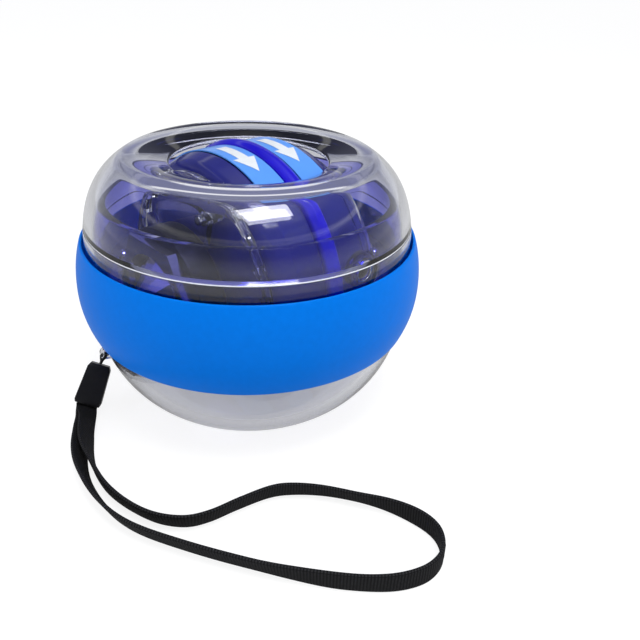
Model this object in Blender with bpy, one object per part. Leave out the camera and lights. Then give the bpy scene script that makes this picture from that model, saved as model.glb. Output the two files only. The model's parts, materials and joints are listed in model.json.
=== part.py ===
"""Gyroscopic wrist ball: a hand-started rotor in a ring that precesses in a clear shell.

Metres, +Z up. The origin is the middle of the flat foot. The rotor's axle lies level at
the race height, inside a ring that runs round in the groove between two race rings.
Sizes run outwards from the rotor: ring, race lips, shell wall and grip band follow it.
"""
import math

import bmesh
import bpy
from mathutils import Matrix, Vector

# Clearances
GAP = 0.0003                # between pieces that touch or pass each other
RUNNING = 0.00015           # shaft in its bearing
ROTOR_CLEARANCE = 0.0004    # rotor's sweep to the ring round it
FLOOR_CLEARANCE = 0.0005    # rotor's rib to the shell's floor
MOUTH_CLEARANCE = 0.0004    # rotor's sweep to the mouth's edge

# Rotor
RIB_RADIUS = 0.0262
RIB_HALF_WIDTH = 0.0017
RIB_SEAT_DEPTH = 0.0033
BAND_STEP = 0.0009          # the stickers lie this far below the rib's crest
BAND_HALF_WIDTH = 0.0079
STICKER_THICKNESS = 0.00025
ROTOR_HALF_WIDTH = 0.0120
ROTOR_WALL = 0.00145
ROTOR_SIDE_WALL = 0.0016
SHOULDER_ROUND = 0.0012
HUB_RADIUS = 0.0045
HUB_PROUD = 0.0009
HUB_CORE = 0.0040
WEIGHT_WALL = 0.0085
WEIGHT_CHAMFER = 0.0009
WEIGHT_BACK_GAP = 0.0011
AXLE_RADIUS = 0.0015
AXLE_TIP_RADIUS = 0.0010
AXLE_TIP_CHAMFER = 0.0003
AXLE_ANGLE = 218.0          # degrees round Z: the spring end points to the front left

# Ratchet, pawls, carrier and spring
TOOTH_COUNT = 24
TOOTH_DEPTH = 0.0012
TOOTH_FLOOR_SHARE = 0.5
RATCHET_WALL = 0.0012
RATCHET_WIDTH = 0.0015
PAWL_PIVOT_INSET = 0.0044    # from the teeth's tips in to the pivot
PAWL_LENGTH = 0.0060
PAWL_REST_REACH = 0.0005    # the resting tip stays this far inside the teeth
PAWL_BITE = 0.0008
PAWL_WIDTH = 0.0009
PAWL_EYE_RADIUS = 0.0013
PAWL_THICKNESS = 0.0011
PAWL_PIN_RADIUS = 0.0006
PAWL_ANGLE = 75.0           # degrees round the axle from the front edge of the ring
FACE_SETBACK = 0.0005
CARRIER_THICKNESS = 0.0012
CARRIER_HUB_RADIUS = 0.0070
CARRIER_ARM_MARGIN = 0.0019
CARRIER_ARM_CENTRE = 97.0
CARRIER_ARM_HALF_SPAN = 32.0
ARBOR_WALL = 0.0019
HOUSING_RADIUS = 0.0134
HOUSING_WALL = 0.0012
SPRING_TURNS = 5
SPRING_PITCH = 0.00128
SPRING_THICKNESS = 0.00035
SPRING_MARGIN = 0.0005
NUT_RADIUS = 0.0130
NUT_BORE = 0.0090
NUT_THICKNESS = 0.0018
CONE_TOP_RADIUS = 0.0034
CONE_NECK = 0.0009
CONE_BASE_RADIUS = 0.0080
TRIM_WIDTH = 0.0009
TRIM_WALL = 0.0019

# Precessing ring
RING_WIDTH = 0.0020
RING_HALF_HEIGHT = 0.0030
BUSH_WALL = 0.0012
LUG_RADIUS = 0.0017
LUG_INSET = 0.0007
LUG_ANGLE = 38.0            # degrees from the axle
SCREW_RADIUS = 0.0005
SCREW_HEAD_RADIUS = 0.00115
SCREW_HEAD_HEIGHT = 0.0007
SCREW_TAIL = 0.0006

# Race rings, shell and grip band
RACE_LIP_REACH = 0.0015
RACE_LIP_THICKNESS = 0.0015
GROOVE_CLEARANCE = 0.0002
TIP_CLEARANCE = 0.0007
LINER_WALL = 0.0010
LINER_RISE = 0.0163
LINER_DROP = 0.0087
SHELL_WALL = 0.0019
FLOOR_THICKNESS = 0.0015
SHOULDER_EXPONENT = 3.4
BELLY_EXPONENT = 2.5
FOOT_RADIUS = 0.0191
FOOT_CHAMFER = 0.0005
ROTOR_PROUD = 0.0015        # the rib's crest over the lip's
LIP_JOIN_SHARE = 0.74       # of the shell's radius, where the shoulder meets the lip
LIP_JOIN_DROP = 0.0005      # that meeting below the lip's crest
LIP_HANDLE = 0.0027
LIP_SLOPE = 24.0            # degrees, of the lip's top at the mouth's edge
EDGE_DROP = 0.0023          # middle of the mouth's edge below the crest
EDGE_ROUND = 0.0005
UNDERSIDE_DROP = 0.0034     # where the inner wall bends into the lip's underside
UNDERSIDE_HANDLE = 0.0026
UNDERSIDE_SLOPE = 13.0
SEAM_RISE = 0.0114
GRIP_RISE = 0.0084
GRIP_DROP = 0.0098
GRIP_EDGE = 0.0005
GRIP_CROWN = 0.0013
BOSS_RADIUS = 0.0034
BOSS_DEPTH = 0.0019
BOSS_RISE = 0.0093
BOSS_ANGLE = -49.0
FERRULE_RADIUS = 0.0022
FERRULE_WALL = 0.0006
FERRULE_DEPTH = 0.0016
PLUG_CREST = 0.0003

# Wrist strap
EYELET_ANGLE = 195.5
EYELET_HEIGHT = 0.0125
EYELET_THICKNESS = 0.0012
EYELET_HOLE_RADIUS = 0.0006
EYELET_RIM = 0.0006
CLIP_BASE = Vector((-0.0344, -0.0129, 0.0030))
CLIP_TOP = Vector((-0.0316, -0.0088, 0.0100))
CLIP_WIDTH = 0.0054
CLIP_THICKNESS = 0.0040
CLIP_ROUND = 0.0005
WEBBING_WIDTH = 0.0042
WEBBING_THICKNESS = 0.0007
WEBBING_LAYER_OFFSET = 0.0005
WEBBING_START_GAP = 0.0004
WEBBING_BEND = 0.0060       # distance over which it turns out of the clip's direction
STRING_RADIUS = 0.0003
STRING_SIDE_OFFSET = 0.0009

# The strap's route on the floor, from the clip round the loop and back into the clip
WEBBING_ROUTE = (
    (-0.0344, -0.0170), (-0.0341, -0.0216), (-0.0334, -0.0268), (-0.0319, -0.0320),
    (-0.0294, -0.0371), (-0.0262, -0.0417), (-0.0226, -0.0454), (-0.0182, -0.0484),
    (-0.0112, -0.0518), (-0.0041, -0.0548), (0.0046, -0.0580), (0.0132, -0.0604),
    (0.0204, -0.0612), (0.0256, -0.0603), (0.0289, -0.0582), (0.0306, -0.0552),
    (0.0306, -0.0518), (0.0288, -0.0487), (0.0252, -0.0457), (0.0203, -0.0431),
    (0.0130, -0.0405), (0.0070, -0.0396), (0.0026, -0.0401), (-0.0030, -0.0427),
    (-0.0078, -0.0453), (-0.0120, -0.0463), (-0.0170, -0.0451), (-0.0220, -0.0418),
    (-0.0263, -0.0374), (-0.0295, -0.0322), (-0.0318, -0.0270), (-0.0330, -0.0220),
    (-0.0337, -0.0170),
)
# Lean of the webbing from upright in degrees, by distance from each of its ends
ROLL_OUT = ((0.0, 38), (0.012, 38), (0.024, 24), (0.060, 22), (0.076, 8), (0.090, 0))
ROLL_BACK = ((0.0, -38), (0.009, -38), (0.020, -10), (0.036, -22), (0.060, -20), (0.074, -27), (0.088, -3))
# Height of the webbing over its resting height, by distance from each of its ends
LIFT_OUT = ((0.0, 0.00045), (0.005, 0.0))
LIFT_BACK = ((0.0, 0.00105), (0.005, 0.00075), (0.012, 0.00075), (0.019, 0.0))
# The string's loop, from the clip up through the eyelet and back
STRING_ROUTE = (
    (-0.03093, -0.00966, 0.01150), (-0.03037, -0.00961, 0.01208), (-0.03012, -0.00928, 0.01248),
    (-0.03022, -0.00884, 0.01250), (-0.03034, -0.00841, 0.01250), (-0.03046, -0.00798, 0.01250),
    (-0.03060, -0.00754, 0.01248), (-0.03098, -0.00740, 0.01208), (-0.03149, -0.00764, 0.01150),
)

# Facets
SHELL_SIDES = 48
ROTOR_SIDES = 40
SMALL_SIDES = 16
TINY_SIDES = 12
WEBBING_RINGS = 76
STRING_RINGS = 30

# Sizes that follow
BAND_RADIUS = RIB_RADIUS - BAND_STEP
SHOULDER_START = BAND_HALF_WIDTH + GAP
ROTOR_SWEEP = math.hypot(BAND_RADIUS, SHOULDER_START)
RING_INNER = ROTOR_SWEEP + ROTOR_CLEARANCE
RING_OUTER = RING_INNER + RING_WIDTH
LIP_INNER = RING_OUTER + GAP
SHELL_INNER = LIP_INNER + RACE_LIP_REACH + GAP
SHELL_RADIUS = SHELL_INNER + SHELL_WALL
RACE_HEIGHT = FLOOR_THICKNESS + FLOOR_CLEARANCE + RIB_RADIUS
LIP_HEIGHT = RACE_HEIGHT + RIB_RADIUS - ROTOR_PROUD
SEAM_HEIGHT = RACE_HEIGHT + SEAM_RISE
GROOVE_HALF = AXLE_TIP_RADIUS + GROOVE_CLEARANCE
BORE_RADIUS = AXLE_RADIUS + GAP

BODY_RADIUS = BAND_RADIUS - STICKER_THICKNESS - GAP
HUB_END = ROTOR_HALF_WIDTH + HUB_PROUD
RATCHET_START = ROTOR_HALF_WIDTH + GAP
RATCHET_END = RATCHET_START + RATCHET_WIDTH
RATCHET_OUTER = math.sqrt(ROTOR_SWEEP ** 2 - RATCHET_END ** 2) - GAP
RATCHET_ROOT = RATCHET_OUTER - RATCHET_WALL
RATCHET_TIP = RATCHET_ROOT - TOOTH_DEPTH
PAWL_PIVOT_RADIUS = RATCHET_TIP - PAWL_PIVOT_INSET
PAWL_START = ROTOR_HALF_WIDTH + FACE_SETBACK
PAWL_END = PAWL_START + PAWL_THICKNESS
CARRIER_START = max(PAWL_END, RATCHET_END) + GAP
CARRIER_END = CARRIER_START + CARRIER_THICKNESS
HOUSING_START = CARRIER_END + FACE_SETBACK
NUT_END = math.sqrt((RING_INNER - GAP) ** 2 - NUT_RADIUS ** 2)
NUT_START = NUT_END - NUT_THICKNESS
HOUSING_END = NUT_START - GAP
CONE_END = RING_INNER - GAP
ARBOR_START = HUB_END + GAP
ARBOR_BORE = AXLE_RADIUS + RUNNING
ARBOR_RADIUS = ARBOR_BORE + ARBOR_WALL
BUSH_BORE = AXLE_TIP_RADIUS + RUNNING
BUSH_RADIUS = BUSH_BORE + BUSH_WALL
AXLE_SHOULDER = RING_INNER - GAP - FACE_SETBACK
AXLE_REACH = SHELL_INNER - TIP_CLEARANCE
LUG_CENTRE = RING_INNER - LUG_INSET


def reach_through(span, radius, exponent):
    """Half height of a super-ellipse of SHELL_RADIUS that passes radius at height span."""
    share = (radius / SHELL_RADIUS) ** exponent
    return span / (1 - share) ** (1 / exponent)


EDGE_HEIGHT = LIP_HEIGHT - EDGE_DROP
EDGE_REACH = ROTOR_SWEEP + MOUTH_CLEARANCE + EDGE_ROUND
EDGE_RADIUS = math.sqrt(EDGE_REACH ** 2 - (EDGE_HEIGHT - RACE_HEIGHT) ** 2)
LIP_JOIN_HEIGHT = LIP_HEIGHT - LIP_JOIN_DROP
LIP_JOIN_RADIUS = LIP_JOIN_SHARE * SHELL_RADIUS
SHOULDER_REACH = reach_through(LIP_JOIN_HEIGHT - RACE_HEIGHT, LIP_JOIN_RADIUS, SHOULDER_EXPONENT)
BELLY_REACH = reach_through(RACE_HEIGHT, FOOT_RADIUS, BELLY_EXPONENT)


def shell_radius(height, inset=0.0):
    """Radius of the shell's outer face at a height, or of a face set in from it."""
    rise = height - RACE_HEIGHT
    if rise > 0:
        reach, exponent = SHOULDER_REACH - inset, SHOULDER_EXPONENT
    else:
        reach, exponent = BELLY_REACH - inset, BELLY_EXPONENT
    share = min(abs(rise) / reach, 1.0) ** exponent
    return (SHELL_RADIUS - inset) * (1 - share) ** (1 / exponent)


def wall_points(low, high, count, inset=0.0):
    """Points up a face of the shell, closer together where it curves most."""
    reach = max(SHOULDER_REACH, BELLY_REACH)
    first = math.asin((low - RACE_HEIGHT) / reach)
    last = math.asin((high - RACE_HEIGHT) / reach)
    points = []
    for index in range(count):
        height = RACE_HEIGHT + reach * math.sin(first + (last - first) * index / (count - 1))
        points.append((shell_radius(height, inset), height))
    return points


def clear_scene():
    """Remove the objects and meshes of the file that the script runs in."""
    for item in list(bpy.data.objects):
        bpy.data.objects.remove(item)
    for mesh in list(bpy.data.meshes):
        bpy.data.meshes.remove(mesh)


def material(name, colour, roughness, metallic=0.0):
    """One Principled material, made once and shared."""
    made = bpy.data.materials.get(name)
    if made:
        return made
    made = bpy.data.materials.new(name)
    made.use_nodes = True
    shader = made.node_tree.nodes["Principled BSDF"]
    shader.inputs["Base Color"].default_value = (*colour, 1.0)
    shader.inputs["Roughness"].default_value = roughness
    shader.inputs["Metallic"].default_value = metallic
    return made


def finishes():
    """Every finish of the ball, by the slot that uses it."""
    return {
        "clear": material("clear plastic", (0.80, 0.84, 0.92), 0.05),
        "race": material("blue tinted plastic", (0.02, 0.04, 0.45), 0.08),
        "grip": material("sky blue silicone", (0.0, 0.20, 0.75), 0.5),
        "rotor": material("dark blue plastic", (0.02, 0.02, 0.20), 0.1),
        "rib": material("deep blue plastic", (0.02, 0.0, 0.60), 0.15),
        "sticker": material("light blue film", (0.10, 0.32, 0.90), 0.35),
        "steel": material("polished steel", (0.75, 0.76, 0.78), 0.15, 1.0),
        "brass": material("brass", (0.78, 0.58, 0.25), 0.3, 1.0),
        "black": material("black plastic", (0.015, 0.015, 0.017), 0.4),
        "strap": material("black nylon", (0.02, 0.02, 0.02), 0.85),
    }


def finish_object(name, mesh, slot, parent=None, place=None, smooth=True):
    """Put a mesh in the scene as a named piece with one material."""
    if smooth:
        mesh.shade_smooth()
        mesh.set_sharp_from_angle(angle=math.radians(35))
    piece = bpy.data.objects.new(name, mesh)
    bpy.context.scene.collection.objects.link(piece)
    if slot:
        mesh.materials.append(FINISH[slot])
    if parent:
        piece.parent = parent
    if place:
        piece.matrix_local = place
    return piece


def mesh_from(build, name):
    """Close a bmesh: merge doubles, turn its faces outwards and make it a mesh."""
    bmesh.ops.remove_doubles(build, verts=build.verts, dist=1e-7)
    bmesh.ops.recalc_face_normals(build, faces=build.faces)
    mesh = bpy.data.meshes.new(name)
    build.to_mesh(mesh)
    build.free()
    return mesh


def add_turned(build, profile, sides, place=None):
    """Turn a closed outline of (radius, height) round Z. Points on the axis become poles."""
    place = place or Matrix.Identity(4)
    rings = []
    for radius, height in profile:
        if radius < 1e-9:
            rings.append([build.verts.new(place @ Vector((0, 0, height)))])
            continue
        ring = []
        for step in range(sides):
            turn = 2 * math.pi * step / sides
            point = Vector((radius * math.cos(turn), radius * math.sin(turn), height))
            ring.append(build.verts.new(place @ point))
        rings.append(ring)
    for low, high in zip(rings, rings[1:] + rings[:1]):
        if len(low) == 1 and len(high) == 1:
            continue
        for step in range(sides):
            after = (step + 1) % sides
            corners = [low[step % len(low)], low[after % len(low)],
                       high[after % len(high)], high[step % len(high)]]
            build.faces.new(list(dict.fromkeys(corners)))


def turned(name, profile, slot, sides=ROTOR_SIDES, parent=None, place=None):
    """A turned piece, under its parent or at a place of its own."""
    build = bmesh.new()
    add_turned(build, profile, sides)
    return finish_object(name, mesh_from(build, name), slot, parent, place)


def band_outline(inner, outer, low, high):
    """Section of a plain ring."""
    return [(outer, low), (outer, high), (inner, high), (inner, low)]


def add_plate(build, outline, low, high, place=None):
    """A flat plate from an outline of (x, y) points."""
    place = place or Matrix.Identity(4)
    base = [build.verts.new(place @ Vector((x, y, low))) for x, y in outline]
    top = [build.verts.new(place @ Vector((x, y, high))) for x, y in outline]
    build.faces.new(base)
    build.faces.new(top)
    for index in range(len(outline)):
        after = (index + 1) % len(outline)
        build.faces.new([base[index], base[after], top[after], top[index]])


def add_polar_ring(build, angles, inner, outer, low, high):
    """A flat ring whose inner and outer edges are given as radii at each angle."""
    loops = []
    for edge, height in ((inner, low), (outer, low), (outer, high), (inner, high)):
        loop = []
        for angle in angles:
            radius = edge(angle)
            turn = math.radians(angle)
            loop.append(build.verts.new((radius * math.cos(turn), radius * math.sin(turn), height)))
        loops.append(loop)
    for first, second in zip(loops, loops[1:] + loops[:1]):
        for index in range(len(angles)):
            after = (index + 1) % len(angles)
            build.faces.new([first[index], first[after], second[after], second[index]])


def polar_ring(name, angles, inner, outer, low, high, slot, parent=None):
    """A flat ring piece with shaped edges."""
    build = bmesh.new()
    add_polar_ring(build, angles, inner, outer, low, high)
    return finish_object(name, mesh_from(build, name), slot, parent)


def even_angles(count):
    """Equal steps round a circle, in degrees."""
    return [360.0 * step / count for step in range(count)]


def cylinder_outline(radius, low, high):
    """Section of a solid cylinder."""
    return [(0, low), (radius, low), (radius, high), (0, high)]


def cutter(name, profile, place, sides=SMALL_SIDES):
    """A turned tool for a Boolean, which the build leaves out."""
    build = bmesh.new()
    add_turned(build, profile, sides, place)
    tool = finish_object(name, mesh_from(build, name), None, smooth=False)
    tool.hide_render = True
    tool.display_type = "WIRE"
    return tool


def combine(piece, tool, operation):
    """Join a tool to a piece, or cut it away."""
    change = piece.modifiers.new(tool.name, "BOOLEAN")
    change.operation = operation
    change.object = tool
    change.solver = "EXACT"


def along(direction, origin=(0, 0, 0)):
    """Matrix whose Z runs along a level direction, with its Y upwards."""
    axis = Vector(direction).normalized()
    up = Vector((0, 0, 1))
    side = up.cross(axis)
    turn = Matrix((side, up, axis)).transposed().to_4x4()
    return Matrix.Translation(Vector(origin)) @ turn


def level_direction(angle):
    """Unit vector at an angle round Z."""
    turn = math.radians(angle)
    return Vector((math.cos(turn), math.sin(turn), 0))


def make_axle_frame():
    """An empty on the rotor's axis: its Z runs along the axle to the spring end."""
    frame = bpy.data.objects.new("axle_frame", None)
    bpy.context.scene.collection.objects.link(frame)
    frame.matrix_world = along(level_direction(AXLE_ANGLE), (0, 0, RACE_HEIGHT))
    return frame


def bend(face, end, slope, handle, count):
    """Points from the end of a face, carried on smoothly, to a point met at a slope in degrees."""
    first, last = Vector(face[-1]), Vector(end)
    near = first + (first - Vector(face[-2])).normalized() * handle
    turn = math.radians(slope)
    far = last + Vector((math.cos(turn), math.sin(turn))) * handle
    points = []
    for step in range(1, count + 1):
        t = step / count
        point = (first * (1 - t) ** 3 + near * 3 * t * (1 - t) ** 2
                 + far * 3 * t * t * (1 - t) + last * t ** 3)
        points.append((point.x, point.y))
    return points


def make_upper_shell():
    """Clear dome whose lip rolls over and slopes down to the mouth's edge."""
    outer = wall_points(SEAM_HEIGHT + GAP / 2, LIP_JOIN_HEIGHT, 9)
    inner = wall_points(SEAM_HEIGHT + GAP / 2, LIP_HEIGHT - UNDERSIDE_DROP, 7, SHELL_WALL)
    edge = []
    for step in range(5):
        turn = math.radians(90 + LIP_SLOPE + (180 + UNDERSIDE_SLOPE - LIP_SLOPE) * step / 4)
        edge.append((EDGE_RADIUS + EDGE_ROUND * math.cos(turn), EDGE_HEIGHT + EDGE_ROUND * math.sin(turn)))
    top = bend(outer, edge[0], LIP_SLOPE, LIP_HANDLE, 6)
    underside = bend(inner, edge[-1], UNDERSIDE_SLOPE, UNDERSIDE_HANDLE, 5)
    profile = outer + top + edge[1:] + list(reversed(underside[:-1])) + list(reversed(inner))
    turned("upper_shell", profile, "clear", SHELL_SIDES)


def make_lower_shell():
    """Clear bowl with the flat foot and the moulded eyelet for the strap."""
    top = SEAM_HEIGHT - GAP / 2
    profile = [(0, 0), (FOOT_RADIUS - FOOT_CHAMFER, 0)]
    profile += wall_points(FOOT_CHAMFER, top, 11)
    floor_corner = FLOOR_THICKNESS + FOOT_CHAMFER
    profile += reversed(wall_points(floor_corner, top, 9, SHELL_WALL))
    profile.append((shell_radius(FLOOR_THICKNESS, SHELL_WALL) - FOOT_CHAMFER, FLOOR_THICKNESS))
    profile.append((0, FLOOR_THICKNESS))
    shell = turned("lower_shell", profile, "clear", SHELL_SIDES)

    wall = shell_radius(EYELET_HEIGHT)
    centre = wall + EYELET_HOLE_RADIUS + GAP
    rim = EYELET_HOLE_RADIUS + EYELET_RIM
    outline = [(wall - SHELL_WALL / 2, EYELET_HEIGHT + rim), (wall - SHELL_WALL / 2, EYELET_HEIGHT - rim)]
    for step in range(9):
        turn = math.radians(-90 + 180 * step / 8)
        outline.append((centre + rim * math.cos(turn), EYELET_HEIGHT + rim * math.sin(turn)))
    place = Matrix.Rotation(math.radians(EYELET_ANGLE), 4, "Z") @ Matrix.Rotation(math.radians(90), 4, "X")
    build = bmesh.new()
    half = EYELET_THICKNESS / 2
    add_plate(build, outline, -half, half, place)
    tab = finish_object("eyelet_tab", mesh_from(build, "eyelet_tab"), None, smooth=False)
    tab.hide_render = True
    tab.display_type = "WIRE"
    combine(shell, tab, "UNION")
    hole = cylinder_outline(EYELET_HOLE_RADIUS, -half - GAP, half + GAP)
    tool = cutter("eyelet_hole", hole, place @ Matrix.Translation((centre, EYELET_HEIGHT, 0)), TINY_SIDES)
    combine(shell, tool, "DIFFERENCE")


def make_grip_band():
    """Silicone band, thickest at its middle and thin at its edges."""
    low, high = RACE_HEIGHT - GRIP_DROP, RACE_HEIGHT + GRIP_RISE
    middle, half = (low + high) / 2, (high - low) / 2
    outer, inner = [], []
    for radius, height in wall_points(low, high, 9):
        crown = GRIP_CROWN * (1 - ((height - middle) / half) ** 2)
        outer.append((radius + GAP + GRIP_EDGE + crown, height))
        inner.append((radius + GAP, height))
    turned("grip_band", outer + list(reversed(inner)), "grip", SHELL_SIDES)


def make_race_rings():
    """Tinted rings that line the shell. The groove for the axle's tips lies between them."""
    inset = SHELL_WALL + GAP
    low_lip = RACE_HEIGHT - GROOVE_HALF
    low_end = RACE_HEIGHT - LINER_DROP
    profile = wall_points(low_end, low_lip, 4, inset)
    profile += [(LIP_INNER, low_lip), (LIP_INNER, low_lip - RACE_LIP_THICKNESS)]
    profile += reversed(wall_points(low_end, low_lip - RACE_LIP_THICKNESS, 3, inset + LINER_WALL))
    turned("race_ring_lower", profile, "race", SHELL_SIDES)

    high_lip = RACE_HEIGHT + GROOVE_HALF
    high_end = RACE_HEIGHT + LINER_RISE
    profile = wall_points(high_lip, high_end, 6, inset)
    profile += reversed(wall_points(high_lip + RACE_LIP_THICKNESS, high_end, 5, inset + LINER_WALL))
    profile += [(LIP_INNER, high_lip + RACE_LIP_THICKNESS), (LIP_INNER, high_lip)]
    ring = turned("race_ring_upper", profile, "race", SHELL_SIDES)

    height = RACE_HEIGHT + BOSS_RISE
    place = along(level_direction(BOSS_ANGLE), (0, 0, height))
    face = shell_radius(height, inset)
    boss = cylinder_outline(BOSS_RADIUS, face - LINER_WALL - BOSS_DEPTH, face - LINER_WALL / 2)
    combine(ring, cutter("boss_block", boss, place), "UNION")
    bore = cylinder_outline(FERRULE_RADIUS + GAP, face - FERRULE_DEPTH, SHELL_RADIUS)
    combine(ring, cutter("boss_bore", bore, place), "DIFFERENCE")

    seat = face - FERRULE_DEPTH + GAP
    crown = shell_radius(height + FERRULE_RADIUS, inset) - GAP
    inner = FERRULE_RADIUS - FERRULE_WALL
    frame = bpy.data.objects.new("boss_frame", None)
    bpy.context.scene.collection.objects.link(frame)
    frame.matrix_world = place
    turned("boss_ferrule", band_outline(inner, FERRULE_RADIUS, seat, crown), "steel", SMALL_SIDES, frame)
    plug = [(0, seat), (inner - GAP, seat), (inner - GAP, crown - PLUG_CREST), (0, crown)]
    turned("boss_plug", plug, "black", TINY_SIDES, frame)


def ring_angles():
    """Angles that follow the ring and each of its screw lugs."""
    angles = set(even_angles(SHELL_SIDES))
    half = math.degrees(math.asin(LUG_RADIUS / LUG_CENTRE))
    for lug in lug_angles():
        for share in (-1.0, -0.75, -0.4, 0.0, 0.4, 0.75, 1.0):
            angles.add((lug + share * half) % 360)
    ordered = sorted(angles)
    return [angle for angle, after in zip(ordered, ordered[1:] + [ordered[0] + 360]) if after - angle > 0.3]


def lug_angles():
    """The four screw lugs, either side of both ends of the axle."""
    return [(AXLE_ANGLE + end + side) % 360 for end in (0, 180) for side in (-LUG_ANGLE, LUG_ANGLE)]


def ring_inner_edge(angle):
    """Inner radius of the ring, which swells inwards at each lug."""
    nearest = min(abs((angle - lug + 180) % 360 - 180) for lug in lug_angles())
    off = LUG_CENTRE * math.sin(math.radians(nearest))
    if nearest > 90 or off >= LUG_RADIUS:
        return RING_INNER
    near = LUG_CENTRE * math.cos(math.radians(nearest)) - math.sqrt(LUG_RADIUS ** 2 - off ** 2)
    return min(RING_INNER, near)


def make_ring():
    """The precessing ring in two halves, held together by four screws."""
    angles = ring_angles()
    low, high = RACE_HEIGHT - RING_HALF_HEIGHT, RACE_HEIGHT + RING_HALF_HEIGHT
    halves = {
        "ring_half_lower": (low, RACE_HEIGHT - GAP / 2),
        "ring_half_upper": (RACE_HEIGHT + GAP / 2, high),
    }
    direction = level_direction(AXLE_ANGLE)
    seats = []
    for end, label in ((1, "left"), (-1, "right")):
        hole = cylinder_outline(BUSH_RADIUS + GAP, LUG_CENTRE - LUG_RADIUS, SHELL_RADIUS)
        place = along(direction * end, (0, 0, RACE_HEIGHT))
        seats.append(cutter("bush_seat_" + label, hole, place))
    drills = []
    for index, lug in enumerate(lug_angles()):
        hole = cylinder_outline(SCREW_RADIUS + GAP, low - GAP, high + GAP)
        spin = Matrix.Rotation(math.radians(lug + 180 / TINY_SIDES), 4, "Z")
        place = Matrix.Translation(LUG_CENTRE * level_direction(lug)) @ spin
        drills.append(cutter("screw_hole_%d" % index, hole, place, TINY_SIDES))
    for name, (base, top) in halves.items():
        half = polar_ring(name, angles, ring_inner_edge, lambda angle: RING_OUTER, base, top, "steel")
        for tool in seats + drills:
            combine(half, tool, "DIFFERENCE")

    head = high + GAP
    screw = [(0, low + SCREW_TAIL), (SCREW_RADIUS, low + SCREW_TAIL), (SCREW_RADIUS, head),
             (SCREW_HEAD_RADIUS, head), (SCREW_HEAD_RADIUS, head + SCREW_HEAD_HEIGHT / 2),
             (SCREW_HEAD_RADIUS * 0.7, head + SCREW_HEAD_HEIGHT), (0, head + SCREW_HEAD_HEIGHT)]
    for index, lug in enumerate(lug_angles()):
        place = Matrix.Translation(LUG_CENTRE * level_direction(lug))
        turned("ring_screw_%d" % (index + 1), screw, "steel", TINY_SIDES, None, place)


def make_bearings(frame):
    """Bushes in the ring and the cones that carry them."""
    for end, label in ((1, "left"), (-1, "right")):
        outline = band_outline(BUSH_BORE, BUSH_RADIUS, end * RING_INNER, end * RING_OUTER)
        turned("bush_" + label, outline, "brass", TINY_SIDES, frame)
    cone = [(BORE_RADIUS, NUT_START), (CONE_BASE_RADIUS, NUT_START),
            (CONE_TOP_RADIUS, CONE_END - CONE_NECK), (CONE_TOP_RADIUS, CONE_END), (BORE_RADIUS, CONE_END)]
    turned("bearing_cone_left", cone, "clear", SMALL_SIDES, frame)
    start = HUB_END + FACE_SETBACK + GAP
    cone = [(BORE_RADIUS, -start), (CONE_BASE_RADIUS, -start),
            (CONE_TOP_RADIUS, CONE_NECK - CONE_END), (CONE_TOP_RADIUS, -CONE_END), (BORE_RADIUS, -CONE_END)]
    turned("bearing_cone_right", cone, "clear", SMALL_SIDES, frame)


def make_spring_set(frame):
    """Spring housing with its nut, the spiral spring, the arbor and the pawl carrier."""
    inner = HOUSING_RADIUS - HOUSING_WALL
    back = HOUSING_END - HOUSING_WALL
    hole = ARBOR_RADIUS + GAP
    housing = [(HOUSING_RADIUS, HOUSING_START), (HOUSING_RADIUS, HOUSING_END), (hole, HOUSING_END),
               (hole, back), (inner, back), (inner, HOUSING_START)]
    turned("spring_housing", housing, "black", ROTOR_SIDES, frame)
    hexagon = even_angles(24)

    def nut_edge(angle):
        return NUT_RADIUS * math.cos(math.radians(30)) / math.cos(math.radians(angle % 60 - 30))

    polar_ring("housing_nut", hexagon, lambda angle: NUT_BORE, nut_edge, NUT_START, NUT_END, "steel", frame)
    make_spring(frame, inner, back)
    arbor = band_outline(ARBOR_BORE, ARBOR_RADIUS, ARBOR_START, HOUSING_END - GAP)
    turned("spring_arbor", arbor, "steel", SMALL_SIDES, frame)
    make_carrier(frame)


def make_spring(frame, drum_radius, back):
    """Unbroken spiral ribbon, from near the arbor out to the housing's wall."""
    low, high = HOUSING_START + SPRING_MARGIN, back - SPRING_MARGIN
    start = drum_radius - GAP - SPRING_THICKNESS / 2 - SPRING_TURNS * SPRING_PITCH
    steps = 22
    build = bmesh.new()
    rings = []
    for step in range(SPRING_TURNS * steps + 1):
        turn = 2 * math.pi * step / steps
        middle = start + SPRING_PITCH * step / steps
        ring = []
        for side, height in ((-0.5, low), (0.5, low), (0.5, high), (-0.5, high)):
            radius = middle + side * SPRING_THICKNESS
            ring.append(build.verts.new((radius * math.cos(turn), radius * math.sin(turn), height)))
        rings.append(ring)
    for first, second in zip(rings, rings[1:]):
        for index in range(4):
            after = (index + 1) % 4
            build.faces.new([first[index], first[after], second[after], second[index]])
    build.faces.new(rings[0])
    build.faces.new(rings[-1])
    finish_object("power_spring", mesh_from(build, "power_spring"), "steel", frame)
    print("power spring: least gap between turns %.2f mm" % (1000 * (SPRING_PITCH - SPRING_THICKNESS)))


def carrier_edge(angle):
    """Outer radius of the carrier: a hub with two broad arms."""
    off = abs((angle - CARRIER_ARM_CENTRE + 90) % 180 - 90)
    reach = PAWL_PIVOT_RADIUS + CARRIER_ARM_MARGIN
    if off <= CARRIER_ARM_HALF_SPAN:
        return reach
    slope = min((off - CARRIER_ARM_HALF_SPAN) / 8.0, 1.0)
    return reach + (CARRIER_HUB_RADIUS - reach) * slope


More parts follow.
